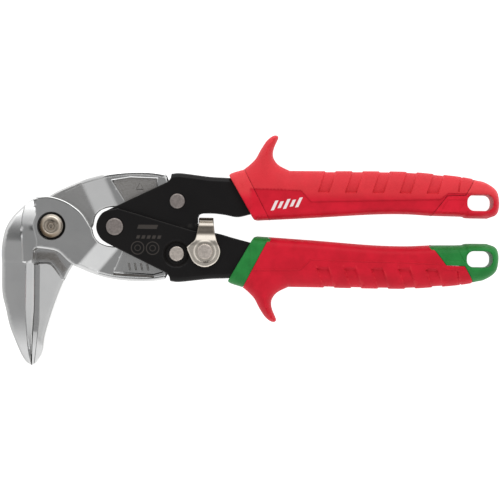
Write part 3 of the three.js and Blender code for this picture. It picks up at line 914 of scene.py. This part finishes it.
for side, outline, look in (("upper", notchedOutline, "black"), ("lower", outerOutline, "blackEtched")):
    verts, faces = framePlates(outline)
    rub = 0.25 * np.clip(1 - nearest(verts[:, :2], outerOutline, True) / 0.35, 0, 1)  # thin wear and a painted highlight on the edges
    pressing = makeMesh(side + "FramePressing", verts, faces, looks[look], flip=side == "lower",
                        attributes={"rub": rub})
    finished(pressing, side + "_handle", "black_paint", side + "_handle_frame")
print("frames made")

# Grips, drawn as the upper one.
grip = {
    "half": 10.0, "outerRound": 11.5, "innerRound": 3.0, "grooveFirst": 137.6, "groovePitch": 13.4,
    "grooveCount": 5, "grooveWidth": 5.6, "grooveDepth": 0.75, "lean": -3.5, "notch": 0.5, "partingGap": 0.18,
    "panelStep": 0.45, "panelWall": 0.45, "buttStep": 0.35, "buttWall": 0.4, "backRound": 4.6,
    "step": 0.8, "rings": (0.06, 0.16, 0.32, 0.6, 1.0, 1.5, 2.2, 3.0),
}
gripOuter = path(
    (87.8, 26.8), [(89.4, 27.6), (94.7, 29.2)],
    [(97.6, 31.6), (100.6, 34.8), (103.1, 39.4), (105.9, 43.6), (108.7, 45.9), (110.8, 46.2), (111.6, 45.2),
     (110.9, 43.2), (109.6, 40.2), (109.0, 37.2), (109.6, 34.4), (112.2, 31.4), (117.4, 28.8)],
    [(134, 28.9), (152, 29.1), (174, 29.1), (187.3, 28.3), (202, 26.9), (211.4, 25.1), (216.6, 22.9), (220, 19.9),
     (221.2, 15.5), (221.1, 11), (219.6, 7.9), (215.4, 6.2)],
)
gripInner = path((215.4, 6.2), [(205.2, 6.3), (203.1, 6.9), (199.6, 7.1), (187.6, 7.3), (174.3, 7.9), (157.3, 7.5),
                                (130, 5.6), (108.9, 4.3), (101.8, 3.9)])
collarFace = path((101.8, 3.9), [(100.2, 4.4), (99.2, 5.6)], (88.0, 25.0), [(87.5, 26.0), (87.8, 26.8)])
collarLine = np.array([(94.7, 29.3), (107.7, 4.1)])
buttLine = np.array([(208.6, 25.4), (204, 17.4), (195, 17.1), (187.3, 7.2)])
slotCentre, slotHalf, slotRound = np.array([211.4, 13.9]), np.array([6.4, 4.0]), 3.4


# The grooves also nick the outer edge, and two small steps follow them near the butt.
def notch(line):
    line = line.copy()
    for i, (x, y) in enumerate(line):
        if y > 24 and x > 125:
            for k in range(grip["grooveCount"]):
                start = grip["grooveFirst"] + k * grip["groovePitch"]
                line[i, 1] -= grip["notch"] * (ramp(x, start - 2.8, start - 2.3) - ramp(x, start + 2.3, start + 2.8))
            line[i, 1] -= 0.35 * (ramp(x, 202.2, 202.5) - ramp(x, 203.0, 203.3))
            line[i, 1] -= 0.30 * ramp(x, 207.6, 208.2) * (1 - ramp(x, 210, 214))
    return line


gripOuter = notch(spaced(gripOuter, 0.3))


def cornered(centre, half, radius, count=9):
    points = []
    for sx, sy, start in ((1, 1, 0), (-1, 1, 90), (-1, -1, 180), (1, -1, 270)):
        c = centre + np.array([sx, sy]) * (half - radius)
        for a in np.radians(np.linspace(start, start + 90, count)):
            points.append(c + radius * np.array([math.cos(a), math.sin(a)]))
    return np.array(points)


slotLoop = cornered(slotCentre, slotHalf, slotRound)
panelArea = np.array([(98, 19.6), (123, 19.0), (128, 13.4), (191.7, 15.4), (195.2, 18.4), (207, 18.4), (203, -5),
                      (98, -5)])
backPanel = np.array([(98, 20.9), (123, 20.4), (128.2, 15.3), (191.0, 16.6), (195.6, 19.4), (207, 18.6), (203, -5),
                      (98, -5)])
buttPanel = np.array([(195.0, 15.4), (204.3, 15.5), (200.9, 9.2), (191.6, 9.4)])


# Each groove as its outline, depth and wall.
def grooveShapes():
    shapes = []
    for k in range(grip["grooveCount"]):
        x = grip["grooveFirst"] + k * grip["groovePitch"]
        w, s = grip["grooveWidth"] / 2, grip["lean"]
        out = -s * 5.6 / 10.4
        shapes.append((np.array([(x - w + out, 34), (x + w + out, 34), (x + w + s, 18.0), (x - w + s - 0.3, 18.0)]),
                       grip["grooveDepth"], 0.4))
    shapes.append((np.array([(202.0, 34), (202.9, 34), (200.9, 18.9), (200.0, 18.9)]), 0.4, 0.25))
    return shapes


# Height of the grip's face: two roundings, the stepped panel, the grooves, the butt and the parting lines.
def gripHeight(p, area=panelArea, innerRound=grip["innerRound"], inward=0.0):
    x, y = p.T
    outer, inner = nearest(p, gripOuter), nearest(p, gripInner)
    wide = np.interp(x, [90, 125, 198, 212, 222], [9.0, grip["outerRound"], grip["outerRound"], 5.5, 4.5])
    z = round1(outer, wide, 2.5) * round1(inner, innerRound, 2.2)
    z = 0.35 + (grip["half"] - 0.35) * z
    z = np.minimum(z, 10.3 - 0.13 * np.clip(y - 26, 0, 22))
    z = z - grip["panelStep"] * well(p, area, grip["panelWall"])
    for shape, depth, wall in grooveShapes():
        shape = shape + [0, inward] * (shape[:, 1:] < 20)
        z = z - depth * well(p, shape, wall) * np.interp(y, [18, 20.5, 25], [1.9, 1.5, 0.9])
    z = z - grip["buttStep"] * well(p, buttPanel, grip["buttWall"])
    z = z - 0.5 * (1 - round1(nearest(p, collarFace), 1.2)) * 1.6
    hole = nearest(p, slotLoop, True)
    z = z + 0.25 * (ramp(hole, 3.0, 2.2)) - 1.1 * (1 - round1(hole, 1.3))
    cut = np.minimum(nearest(p, collarLine), nearest(p, buttLine))
    return np.maximum(z - 0.35 * (1 - round1(cut, 0.45)), 0.3)


def shifted(line, amount):
    line = np.array(line, float)
    return line + np.array([amount, 0])


def gripPiece(outline, lines, holes=()):
    return slab(outline, gripHeight, lambda p: -gripHeight(p, backPanel, grip["backRound"], 1.2), grip["step"],
                grip["rings"], lines, holes)


def clipped(line, keep):
    mask = np.array([keep(x, y) for x, y in line])
    return line[mask]


gap = grip["partingGap"] / 2


def collarX(y):
    return np.interp(y, [4.1, 29.3], [107.7, 94.7])


def buttX(y):
    return np.interp(y, [7.2, 17.1, 17.4, 25.4], [187.3, 195.0, 204.0, 208.6])


outerSleeve = clipped(gripOuter, lambda x, y: (x > collarX(y) + gap or y > 29.6) and x < buttX(y) - gap)
innerSleeve = clipped(gripInner, lambda x, y: collarX(y) + gap < x < 187.3 - gap)
sleeveOutline = np.vstack([shifted(collarLine[:1], gap), outerSleeve, shifted(buttLine, -gap) + [0, gap], innerSleeve,
                           shifted(collarLine[1:], gap)])
outerCollar = clipped(gripOuter, lambda x, y: x < collarX(y) - gap and y < 29.4)
innerCollar = clipped(gripInner, lambda x, y: x < collarX(y) - gap)
collarOutline = np.vstack([outerCollar, shifted(collarLine, -gap), innerCollar, collarFace[1:-1]])
outerButt = clipped(gripOuter, lambda x, y: x > buttX(y) + gap and x > 186)
innerButt = clipped(gripInner, lambda x, y: x > 187.3 + gap)
buttOutline = np.vstack([outerButt, innerButt, (shifted(buttLine, gap) - [0, gap])[::-1]])


sleeveLines = ringLines(panelArea, grip["panelWall"]) + ringLines(backPanel, grip["panelWall"])
for shape, depth, wall in grooveShapes():
    sleeveLines += ringLines(shape, wall)
buttLines = ringLines(buttPanel, grip["buttWall"])


# Painted shade in the grooves and seams; painted highlights on the groove edges and on the face side's outer zone,
# and a lighter tone toward the thumb stop's tip.
def gripMarks(verts):
    flat, z = verts[:, :2], verts[:, 2]
    low = np.zeros(len(flat))
    for shape, depth, wall in grooveShapes():
        low = np.maximum(low, well(flat, shape, wall) * 0.12)
    low = np.maximum(low, np.clip(1 - np.minimum(nearest(flat, collarLine), nearest(flat, buttLine)) / 0.3, 0, 1))
    seam = np.where(z > 0, nearest(flat, panelArea, True), nearest(flat, backPanel, True))
    low = np.maximum(low, 0.75 * np.clip(1 - seam / 0.4, 0, 1))
    high = np.zeros(len(flat))
    for shape, depth, wall in grooveShapes():
        near = np.clip(1 - np.abs(nearest(flat, shape, True)) / 0.35, 0, 1) * ~within(flat, shape)
        high = np.maximum(high, near * 0.5)
    thumbStop = np.clip((flat[:, 1] - 38) / 8, 0, 1) * 0.35
    # painted highlight: the face side's outer zone, the top of the upper grip, as if lit from above
    litOuterFace = ramp(flat[:, 1], 13.5, 19) * (z > 0) * ~within(flat, panelArea) * 0.9
    high = np.maximum(np.maximum(high, thumbStop), litOuterFace)
    return {"rub": high, "hollow": low}


sleeveShell = gripPiece(sleeveOutline, sleeveLines)


# Hidden tongues under the parting lines, so nothing shows through between the two plastics.
def tongue(line, width):
    line = np.array(line, float)
    return slab(np.vstack([line + [width, 0], (line - [width, 0])[::-1]]), lambda p: gripHeight(p) - 0.8,
                lambda p: -gripHeight(p) + 0.8, 1.2, (0.4,))


collarTongue = collarLine[0] + (collarLine[1] - collarLine[0]) * np.array([[0.03], [0.97]])
buttTongue = buttLine + np.array([(-0.4, -0.8), (0, -0.1), (0, 0), (0.3, 0.5)])
coreShell = joined(gripPiece(collarOutline, []), gripPiece(buttOutline, buttLines, [slotLoop]),
                   tongue(collarTongue, 1.3), tongue(buttTongue, 1.3))
for side, flip, sleeveLook, coreLook, coreSlot in (
    ("upper", False, "redBadged", "redCore", "red_plastic"),
    ("lower", True, "red", "green", "green_plastic"),
):
    sleeve = makeMesh(side + "GripOvermould", *sleeveShell, looks[sleeveLook], flip=flip,
                      attributes=gripMarks(sleeveShell[0]))
    finished(sleeve, side + "_handle", "red_rubber", side + "_grip_sleeve")
    core = makeMesh(side + "GripCollarAndEnd", *coreShell, looks[coreLook], flip=flip,
                    attributes=gripMarks(coreShell[0]))
    finished(core, side + "_handle", coreSlot, side + "_grip_core")
print("grips made")

# Latch: a pressed lever with a curled tab and a claw.
latch = {"low": 8.3, "thick": 1.6, "tabTop": 13.2, "pivotHole": 2.8, "ring": 0.12, "dish": 0.18, "edgeDrop": 0.4}
latchOutline = path(
    (68.9, -7.9), [(71.0, -6.0), (72.0, -2.4), (72.9, 2.6)], (73.0, 4.9), (80.1, 4.9), (80.2, 2.6),
    [(80.7, -2), (81.8, -6.4), (83.6, -11.7), (81.6, -16.8), (76.2, -19.4), (70.6, -17.2), (67.4, -11.2)],
    (67.1, -9.6),
)


latchCurve = smooth([(-20, 0), (-8, 0), (-6.4, 0.0), (-5.4, 0.3), (-4, 0.95), (-3.1, 1.3), (-2.2, 1.40), (-0.8, 1.16),
                     (0.4, 1.0), (1.4, 1.25), (2.2, 1.8), (2.9, 2.7), (3.3, 3.3), (4.4, 3.3), (5.2, 3.1)], 0.2)


def latchTop(p):
    d = nearest(p, latchOutline, True)
    r = np.hypot(*(p - latchPivot).T)
    z = latch["low"] + latch["thick"] + levelAlong(latchCurve, p[:, 1]) - latch["edgeDrop"] * (1 - round1(d, 0.7))
    return z - latch["dish"] * (1 - ramp(r, 5.2, 5.9)) + latch["ring"] * (ramp(r, 5.0, 5.4) - ramp(r, 5.6, 6.0))


def latchBottom(p):
    d = nearest(p, latchOutline, True)
    level = np.minimum(levelAlong(latchCurve, p[:, 1] + 0.2), latch["thick"])
    return latch["low"] + level + 0.2 * (1 - round1(d, 0.3))


clawOutline = cornered(np.array([78.3, 3.0]), np.array([1.7, 1.4]), 0.35, 5)
latchShell = joined(
    slab(latchOutline, latchTop, latchBottom, 0.5, (0.08, 0.2, 0.4, 0.7), [],
         [circle(latchPivot, latch["pivotHole"])]),
    slab(clawOutline, lambda p: np.full(len(p), 9.4),
         lambda p: 2.9 + 0.3 * (1 - round1(nearest(p, clawOutline, True), 0.35)), 0.6, (0.1, 0.3)),
)
# the tab's end painted dark, and painted shade round the neck and above the disc
y, z = latchShell[0][:, 1], latchShell[0][:, 2]
tabEnd = (z > latch["tabTop"] - 0.25) & (y > 3.2)
neck = ramp(y, -4.2, -2.6) * (1 - ramp(y, 0.6, 1.4)) * (z > 9.0)
waist = ramp(y, -8.9, -8.3) * (1 - ramp(y, -7.4, -6.6)) * (z > 9.0)
dark = np.maximum(tabEnd * 1.0, np.maximum(neck * 0.6, waist * 0.5))
latchPiece = makeMesh("latchLeverPressing", *latchShell, looks["nickel"],
                      attributes={"hollow": dark, "warm": neck * 0.5})
finished(latchPiece, "latch", "nickel", "latch_lever")


# Pivot bolt and nut.
bolt = {
    "head": 6.1, "low": 4.5, "top": 8.9, "crown": 3.4, "crownRound": 2.3, "dish": 0.35, "boss": 0.10,
    "socket": 1.9, "socketDepth": 0.9, "shank": 4.0, "end": -9.6,
}


def hexagon(radius):
    return circle((0, 0), radius, 6)


socketHex = hexagon(bolt["socket"])


def boltTop(p):
    r = np.hypot(*p.T)
    z = bolt["top"] - bolt["crown"] * (1 - round1(bolt["head"] - r, bolt["crownRound"]))
    z = z - bolt["dish"] * (1 - ramp(r, 3.55, 3.95)) + bolt["boss"] * (1 - ramp(r, 2.5, 2.8))
    return z - bolt["socketDepth"] * well(p, socketHex, 0.35)


boltRings = [looped(circle((0, 0), r, 48)) for r in (2.5, 2.8, 3.55, 3.95, 4.6)]
headShell = slab(circle((0, 0), bolt["head"], 72), boltTop, lambda p: np.full(len(p), bolt["low"]), 0.5,
                 (0.05, 0.15, 0.35, 0.7, 1.2, 1.7), boltRings + ringLines(socketHex, 0.3))
shankLoop = circle((0, 0), bolt["shank"], 40)
shankShell = slab(shankLoop, lambda p: np.full(len(p), bolt["low"] + 0.1),
                  lambda p: bolt["end"] + 0.6 * (1 - np.clip(nearest(p, shankLoop, True) / 0.6, 0, 1)), 1.0,
                  (0.3, 0.6))
boltShell = joined(headShell, shankShell)
# painted shade in the socket and on the head's edge; the crown a warm brown, made brighter on one side as painted
# light
x, y, z = boltShell[0].T
r = np.hypot(x, y)
socketDark = (r < 2.1) & (z > 5) & (z < bolt["top"] - 0.5)
lit = np.cos(np.arctan2(y, x) - 0.9)
boltPiece = makeMesh("pivotBoltHead", *boltShell, looks["nickel"], sharp=40,
                     attributes={"hollow": socketDark * 0.2 + 0.4 * (r > 5.95),
                                 "warm": 0.62 + (0.08 - 0.35 * lit) * ramp(r, 3.9, 4.4)})
finished(boltPiece, "front_jaw", "nickel", "pivot_bolt")

nut = {"corner": 7.5, "top": -7.6, "bottom": -10.0, "hole": 4.15, "chamfer": 0.9}
nutShell = slab(hexagon(nut["corner"]), lambda p: nut["top"] - 0.385 * (1 - round1(7.6 - np.hypot(*p.T), 1.2)),
                lambda p: nut["bottom"] + nut["chamfer"] * np.clip((np.hypot(*p.T) - 6.3) / 1.2, 0, 1), 0.8,
                (0.2, 0.5, 1.0), [], [circle((0, 0), nut["hole"])])
nutPiece = makeMesh("pivotNutHex", *nutShell, looks["plated"])
finished(nutPiece, "front_jaw", "zinc_steel", "pivot_nut")
print("latch and pivot made")


# Rivets: one turned profile set on points by Geometry Nodes.
weldGap = 2e-6


# A node tree with named inputs; add() makes a node and sets or links its sockets.
def tree(name, inputs):
    made = bpy.data.node_groups.new(name, "GeometryNodeTree")
    made.interface.new_socket("Geometry", in_out="INPUT", socket_type="NodeSocketGeometry")
    for label, kind, value in inputs:
        socket = made.interface.new_socket(label, in_out="INPUT", socket_type="NodeSocket" + kind)
        if value is not None:
            socket.default_value = value
    made.interface.new_socket("Geometry", in_out="OUTPUT", socket_type="NodeSocketGeometry")
    start, end = made.nodes.new("NodeGroupInput"), made.nodes.new("NodeGroupOutput")

    def add(kind, settings=None, **sockets):
        n = made.nodes.new(kind)
        for key, value in (settings or {}).items():
            setattr(n, key, value)
        for key, value in sockets.items():
            numbered = key[0] == "i" and key[1:].isdigit()
            slot = n.inputs[int(key[1:]) if numbered else key.replace("_", " ")]
            if isinstance(value, bpy.types.NodeSocket):
                made.links.new(value, slot)
            else:
                slot.default_value = value
        return n

    def close(geometry):
        real = add("GeometryNodeRealizeInstances", Geometry=geometry)
        paint = add("GeometryNodeSetMaterial", Geometry=real.outputs[0], Material=start.outputs["Finish"])
        made.links.new(paint.outputs[0], end.inputs[0])
        return made

    return start, add, close


def setInput(modifier, group, label, value):
    for item in group.interface.items_tree:
        if item.item_type == "SOCKET" and item.in_out == "INPUT" and item.name == label:
            modifier[item.identifier] = value


# A grid is rolled into a turned piece: radius and height come from two curves of the profile.
def turnedTree(name, profile, sides=48):
    start, add, close = tree(name, [("Scale", "Float", 1.0), ("Finish", "Material", None)])

    def maths(operation, *values):
        inputs = {"i" + str(i): value for i, value in enumerate(values)}
        return add("ShaderNodeMath", {"operation": operation}, **inputs).outputs[0]

    sizes = np.array(profile, float)
    widest, tallest = sizes[:, 0].max(), np.abs(sizes[:, 1]).max()
    rows = len(profile)
    grid = add("GeometryNodeMeshGrid", Size_X=1.0, Size_Y=1.0, Vertices_X=sides + 1, Vertices_Y=rows)
    where = add("GeometryNodeInputPosition")
    apart = add("ShaderNodeSeparateXYZ", i0=where.outputs[0])
    turn = maths("MULTIPLY", apart.outputs[0], 2 * math.pi)
    step = maths("ADD", apart.outputs[1], 0.5)

    def curve(values):
        n = add("ShaderNodeFloatCurve", Value=step)
        line = n.mapping.curves[0]
        while len(line.points) < rows:
            line.points.new(0.5, 0.5)
        for i, v in enumerate(values):
            line.points[i].location = (i / (rows - 1), v)
            line.points[i].handle_type = "VECTOR"
        n.mapping.update()
        return n.outputs[0]

    radius = curve(sizes[:, 0] / widest)
    height = curve(sizes[:, 1] / tallest / 2 + 0.5)
    x = maths("MULTIPLY", maths("MULTIPLY", radius, maths("COSINE", turn)), widest / 1000)
    y = maths("MULTIPLY", maths("MULTIPLY", radius, maths("SINE", turn)), widest / 1000)
    z = maths("MULTIPLY_ADD", height, 2 * tallest / 1000, -tallest / 1000)
    place = add("ShaderNodeCombineXYZ", i0=x, i1=y, i2=z)
    rolled = add("GeometryNodeSetPosition", Geometry=grid.outputs[0], Position=place.outputs[0])
    weld = add("GeometryNodeMergeByDistance", Geometry=rolled.outputs[0], Distance=weldGap)
    instances = add("GeometryNodeInstanceOnPoints", Points=start.outputs["Geometry"], Instance=weld.outputs[0],
                    Scale=start.outputs["Scale"])
    return close(instances.outputs[0])


# The tree's result on the given points, as a plain mesh with its faces turned outward.
def grown(name, group, points, look, sharp=35):
    base = bpy.data.meshes.new(name + "Base")
    base.from_pydata([tuple(np.array(p) / 1000 + origin) for p in points], [], [])
    holder = bpy.data.objects.new(name + "Base", base)
    bpy.context.scene.collection.objects.link(holder)
    modifier = holder.modifiers.new("grow", "NODES")
    modifier.node_group = group
    setInput(modifier, group, "Finish", look)
    bpy.context.view_layer.update()
    mesh = bpy.data.meshes.new_from_object(holder.evaluated_get(bpy.context.evaluated_depsgraph_get()))
    holder.modifiers.clear()
    bpy.data.objects.remove(holder)
    mesh.name = name
    work = bmesh.new()
    work.from_mesh(mesh)
    bmesh.ops.remove_doubles(work, verts=work.verts, dist=weldGap)
    bmesh.ops.recalc_face_normals(work, faces=work.faces)
    work.to_mesh(mesh)
    work.free()
    mesh.polygons.foreach_set("use_smooth", [True] * len(mesh.polygons))
    mesh.set_sharp_from_angle(angle=math.radians(sharp))
    piece = bpy.data.objects.new(name, mesh)
    bpy.context.scene.collection.objects.link(piece)
    return piece


def rivetProfile(low, high, head, shank):
    cap = [(0, 0.80), (head * 0.62, 0.80), (head * 0.74, 0.72), (head * 0.86, 0.74), (head - 0.25, 0.62),
           (head - 0.05, 0.38), (head, 0.0), (shank, 0.0)]
    top = [(r, high + z) for r, z in cap]
    bottom = [(r, low - z) for r, z in cap[::-1]]
    return top + bottom


armRivets = turnedTree("armRivets", rivetProfile(-5.35, 5.35, 3.8, 3.0))
handleRivets = turnedTree("handleRivets", rivetProfile(-7.85, 7.85, 4.3, 3.0))
latchRivets = turnedTree("latchRivets", rivetProfile(-2.35, 2.35, 3.8, 2.5))
for name, group, centre, z, body, node, look in (
    ("upperArmRivetTurned", armRivets, upperRivet, 0, "upper_handle", "upper_arm_rivet", "rivet"),
    ("lowerArmRivetTurned", armRivets, lowerRivet, 0, "lower_handle", "lower_arm_rivet", "rivetPale"),
    ("handleRivetTurned", handleRivets, handlePivot, 0, "lower_handle", "handle_rivet", "rivet"),
    ("latchRivetTurned", latchRivets, latchPivot, plate["outer"], "lower_handle", "latch_rivet", "rivetPale"),
):
    finished(grown(name, group, [(*centre, z)], looks[look]), body, "zinc_steel", node)


# Return spring: wire wound on a spiral by Geometry Nodes.
spring = {"x": 50.0, "span": 7.2, "radius": 1.9, "wire": 0.5, "turns": 7.0}


def springTree():
    start, add, close = tree("windingTree", [("Turns", "Float", spring["turns"]), ("Finish", "Material", None)])
    spiral = add("GeometryNodeCurveSpiral", Resolution=28, Start_Radius=spring["radius"] / 1000,
                 End_Radius=spring["radius"] / 1000, Height=2 * spring["span"] / 1000,
                 Rotations=start.outputs["Turns"])
    wire = add("GeometryNodeCurvePrimitiveCircle", Resolution=12, Radius=spring["wire"] / 1000)
    swept = add("GeometryNodeCurveToMesh", Curve=spiral.outputs[0], Profile_Curve=wire.outputs[0], Fill_Caps=True)
    turned = add("GeometryNodeTransform", Geometry=swept.outputs[0], Rotation=(-math.pi / 2, 0, 0),
                 Translation=(0, -spring["span"] / 1000, 0))
    instances = add("GeometryNodeInstanceOnPoints", Points=start.outputs["Geometry"], Instance=turned.outputs[0])
    return close(instances.outputs[0])


springPiece = grown("returnSpringWire", springTree(), [(spring["x"], 0, 0)], looks["plated"], 60)
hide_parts("return_spring")
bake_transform(springPiece)

# plain CAD pieces that stay as they are, in a better finish
# the bolt washer gets the black coat: a blackened washer, and also painted shadow in the ring round the bolt head
for node, look in (("pivot_washer", "plated"), ("handle_spacer", "plated"), ("latch_washer", "plated"),
                   ("bolt_washer", "black")):
    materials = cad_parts[node].data.materials
    materials.clear()
    materials.append(looks[look])
print("rivets and spring made")

# Floor, light and camera.
studio = {
    "floor": 3.0, "floorGlow": 1.0, "floorDrop": 0.0005, "sky": 0.95, "keyPower": 2.5,
    "cameraHeight": 1.085, "fieldWidth": 0.247, "sensor": 36, "roll": 0.7, "centre": (98.2, -10.7),
}
skyBands = {  # direction, then brightness at each angle in degrees away from it
    "dome": ((0, 0, 1), [(0, 0.135), (8, 0.185), (20, 0.62), (38, 0.85), (90, 0.65)]),
    "dark": ((-0.05, 0.342, 0.938), [(0, 0.02), (9, 0.05), (17, 1.0)]),
    "back": ((0.1, 1.0, 0.55), [(0, 0.85), (28, 0.7), (50, 0.27), (75, 0.04), (95, 0.0)]),
    "front": ((0.2, -1.0, 0.7), [(0, 0.6), (25, 0.45), (50, 0.1), (70, 0.0)]),
}
low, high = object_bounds()
floorMesh = bpy.data.meshes.new("floor")
s, z = studio["floor"], low.z - studio["floorDrop"]
floorMesh.from_pydata([(-s, -s, z), (s, -s, z), (s, s, z), (-s, s, z)], [], [(0, 1, 2, 3)])
floor = bpy.data.objects.new("floor", floorMesh)
bpy.context.scene.collection.objects.link(floor)
paper = Look("paleFloor")
paper.set(Base_Color=(0.3, 0.3, 0.3), Roughness=0.9, Emission_Color=(1.0, 1.0, 1.0),
          Emission_Strength=studio["floorGlow"])
floorMesh.materials.append(paper.material)


# Dome of soft light: grey straight overhead, bright toward the sides, one darker patch.
def studioDome():
    world = bpy.data.worlds.new("studioDome")
    bpy.context.scene.world = world
    world.use_nodes = True
    nodes, links = world.node_tree.nodes, world.node_tree.links
    nodes.clear()
    out, glow = nodes.new("ShaderNodeOutputWorld"), nodes.new("ShaderNodeBackground")
    links.new(glow.outputs[0], out.inputs[0])
    where = nodes.new("ShaderNodeTexCoord")

    def toward(direction, stops):
        d = Vector(direction).normalized()
        dot = nodes.new("ShaderNodeVectorMath")
        dot.operation = "DOT_PRODUCT"
        dot.inputs[1].default_value = d
        links.new(where.outputs["Generated"], dot.inputs[0])
        angle = nodes.new("ShaderNodeMath")
        angle.operation = "ARCCOSINE"
        links.new(dot.outputs["Value"], angle.inputs[0])
        scale = nodes.new("ShaderNodeMath")
        scale.operation = "DIVIDE"
        links.new(angle.outputs[0], scale.inputs[0])
        scale.inputs[1].default_value = math.pi
        fade = nodes.new("ShaderNodeValToRGB")
        fade.color_ramp.interpolation = "EASE"
        while len(fade.color_ramp.elements) < len(stops):
            fade.color_ramp.elements.new(0.5)
        for element, (degrees, value) in zip(fade.color_ramp.elements, stops):
            element.position, element.color = degrees / 180, (value, value, value, 1)
        links.new(scale.outputs[0], fade.inputs[0])
        return fade.outputs[0]

    def combined(kind, a, b):
        mix = nodes.new("ShaderNodeMix")
        mix.data_type, mix.blend_type = "RGBA", kind
        mix.inputs[0].default_value = 1.0
        links.new(a, mix.inputs[6])
        links.new(b, mix.inputs[7])
        return mix.outputs[2]

    bands = {name: toward(*band) for name, band in skyBands.items()}
    lit = combined("ADD", combined("ADD", bands["dome"], bands["back"]), bands["front"])
    links.new(combined("MULTIPLY", lit, bands["dark"]), glow.inputs[0])
    glow.inputs[1].default_value = studio["sky"]


studioDome()


def softbox(name, place, aim, size, power):
    data = bpy.data.lights.new(name, "AREA")
    data.shape, data.size, data.size_y, data.energy = "RECTANGLE", size[0], size[1], power
    light = bpy.data.objects.new(name, data)
    light.location = place
    light.rotation_euler = (Vector(aim) - Vector(place)).to_track_quat("-Z", "Y").to_euler()
    bpy.context.scene.collection.objects.link(light)


softbox("keyBox", (0.1, 0.9, 0.7), (0, 0, 0), (1.2, 0.5), studio["keyPower"])

cameraData = bpy.data.cameras.new("camera")
camera = bpy.data.objects.new("camera", cameraData)
bpy.context.scene.collection.objects.link(camera)
cx, cy = studio["centre"]
camera.location = (cx / 1000 + origin[0], cy / 1000 + origin[1], studio["cameraHeight"] + origin[2] + 0.005)
camera.rotation_euler = (0, 0, math.radians(studio["roll"]))
cameraData.sensor_width = studio["sensor"]
cameraData.lens = studio["sensor"] * studio["cameraHeight"] / studio["fieldWidth"]
cameraData.clip_end = 10
bpy.context.scene.camera = camera
bpy.context.scene.view_settings.view_transform = "Standard"

print("scene ready")
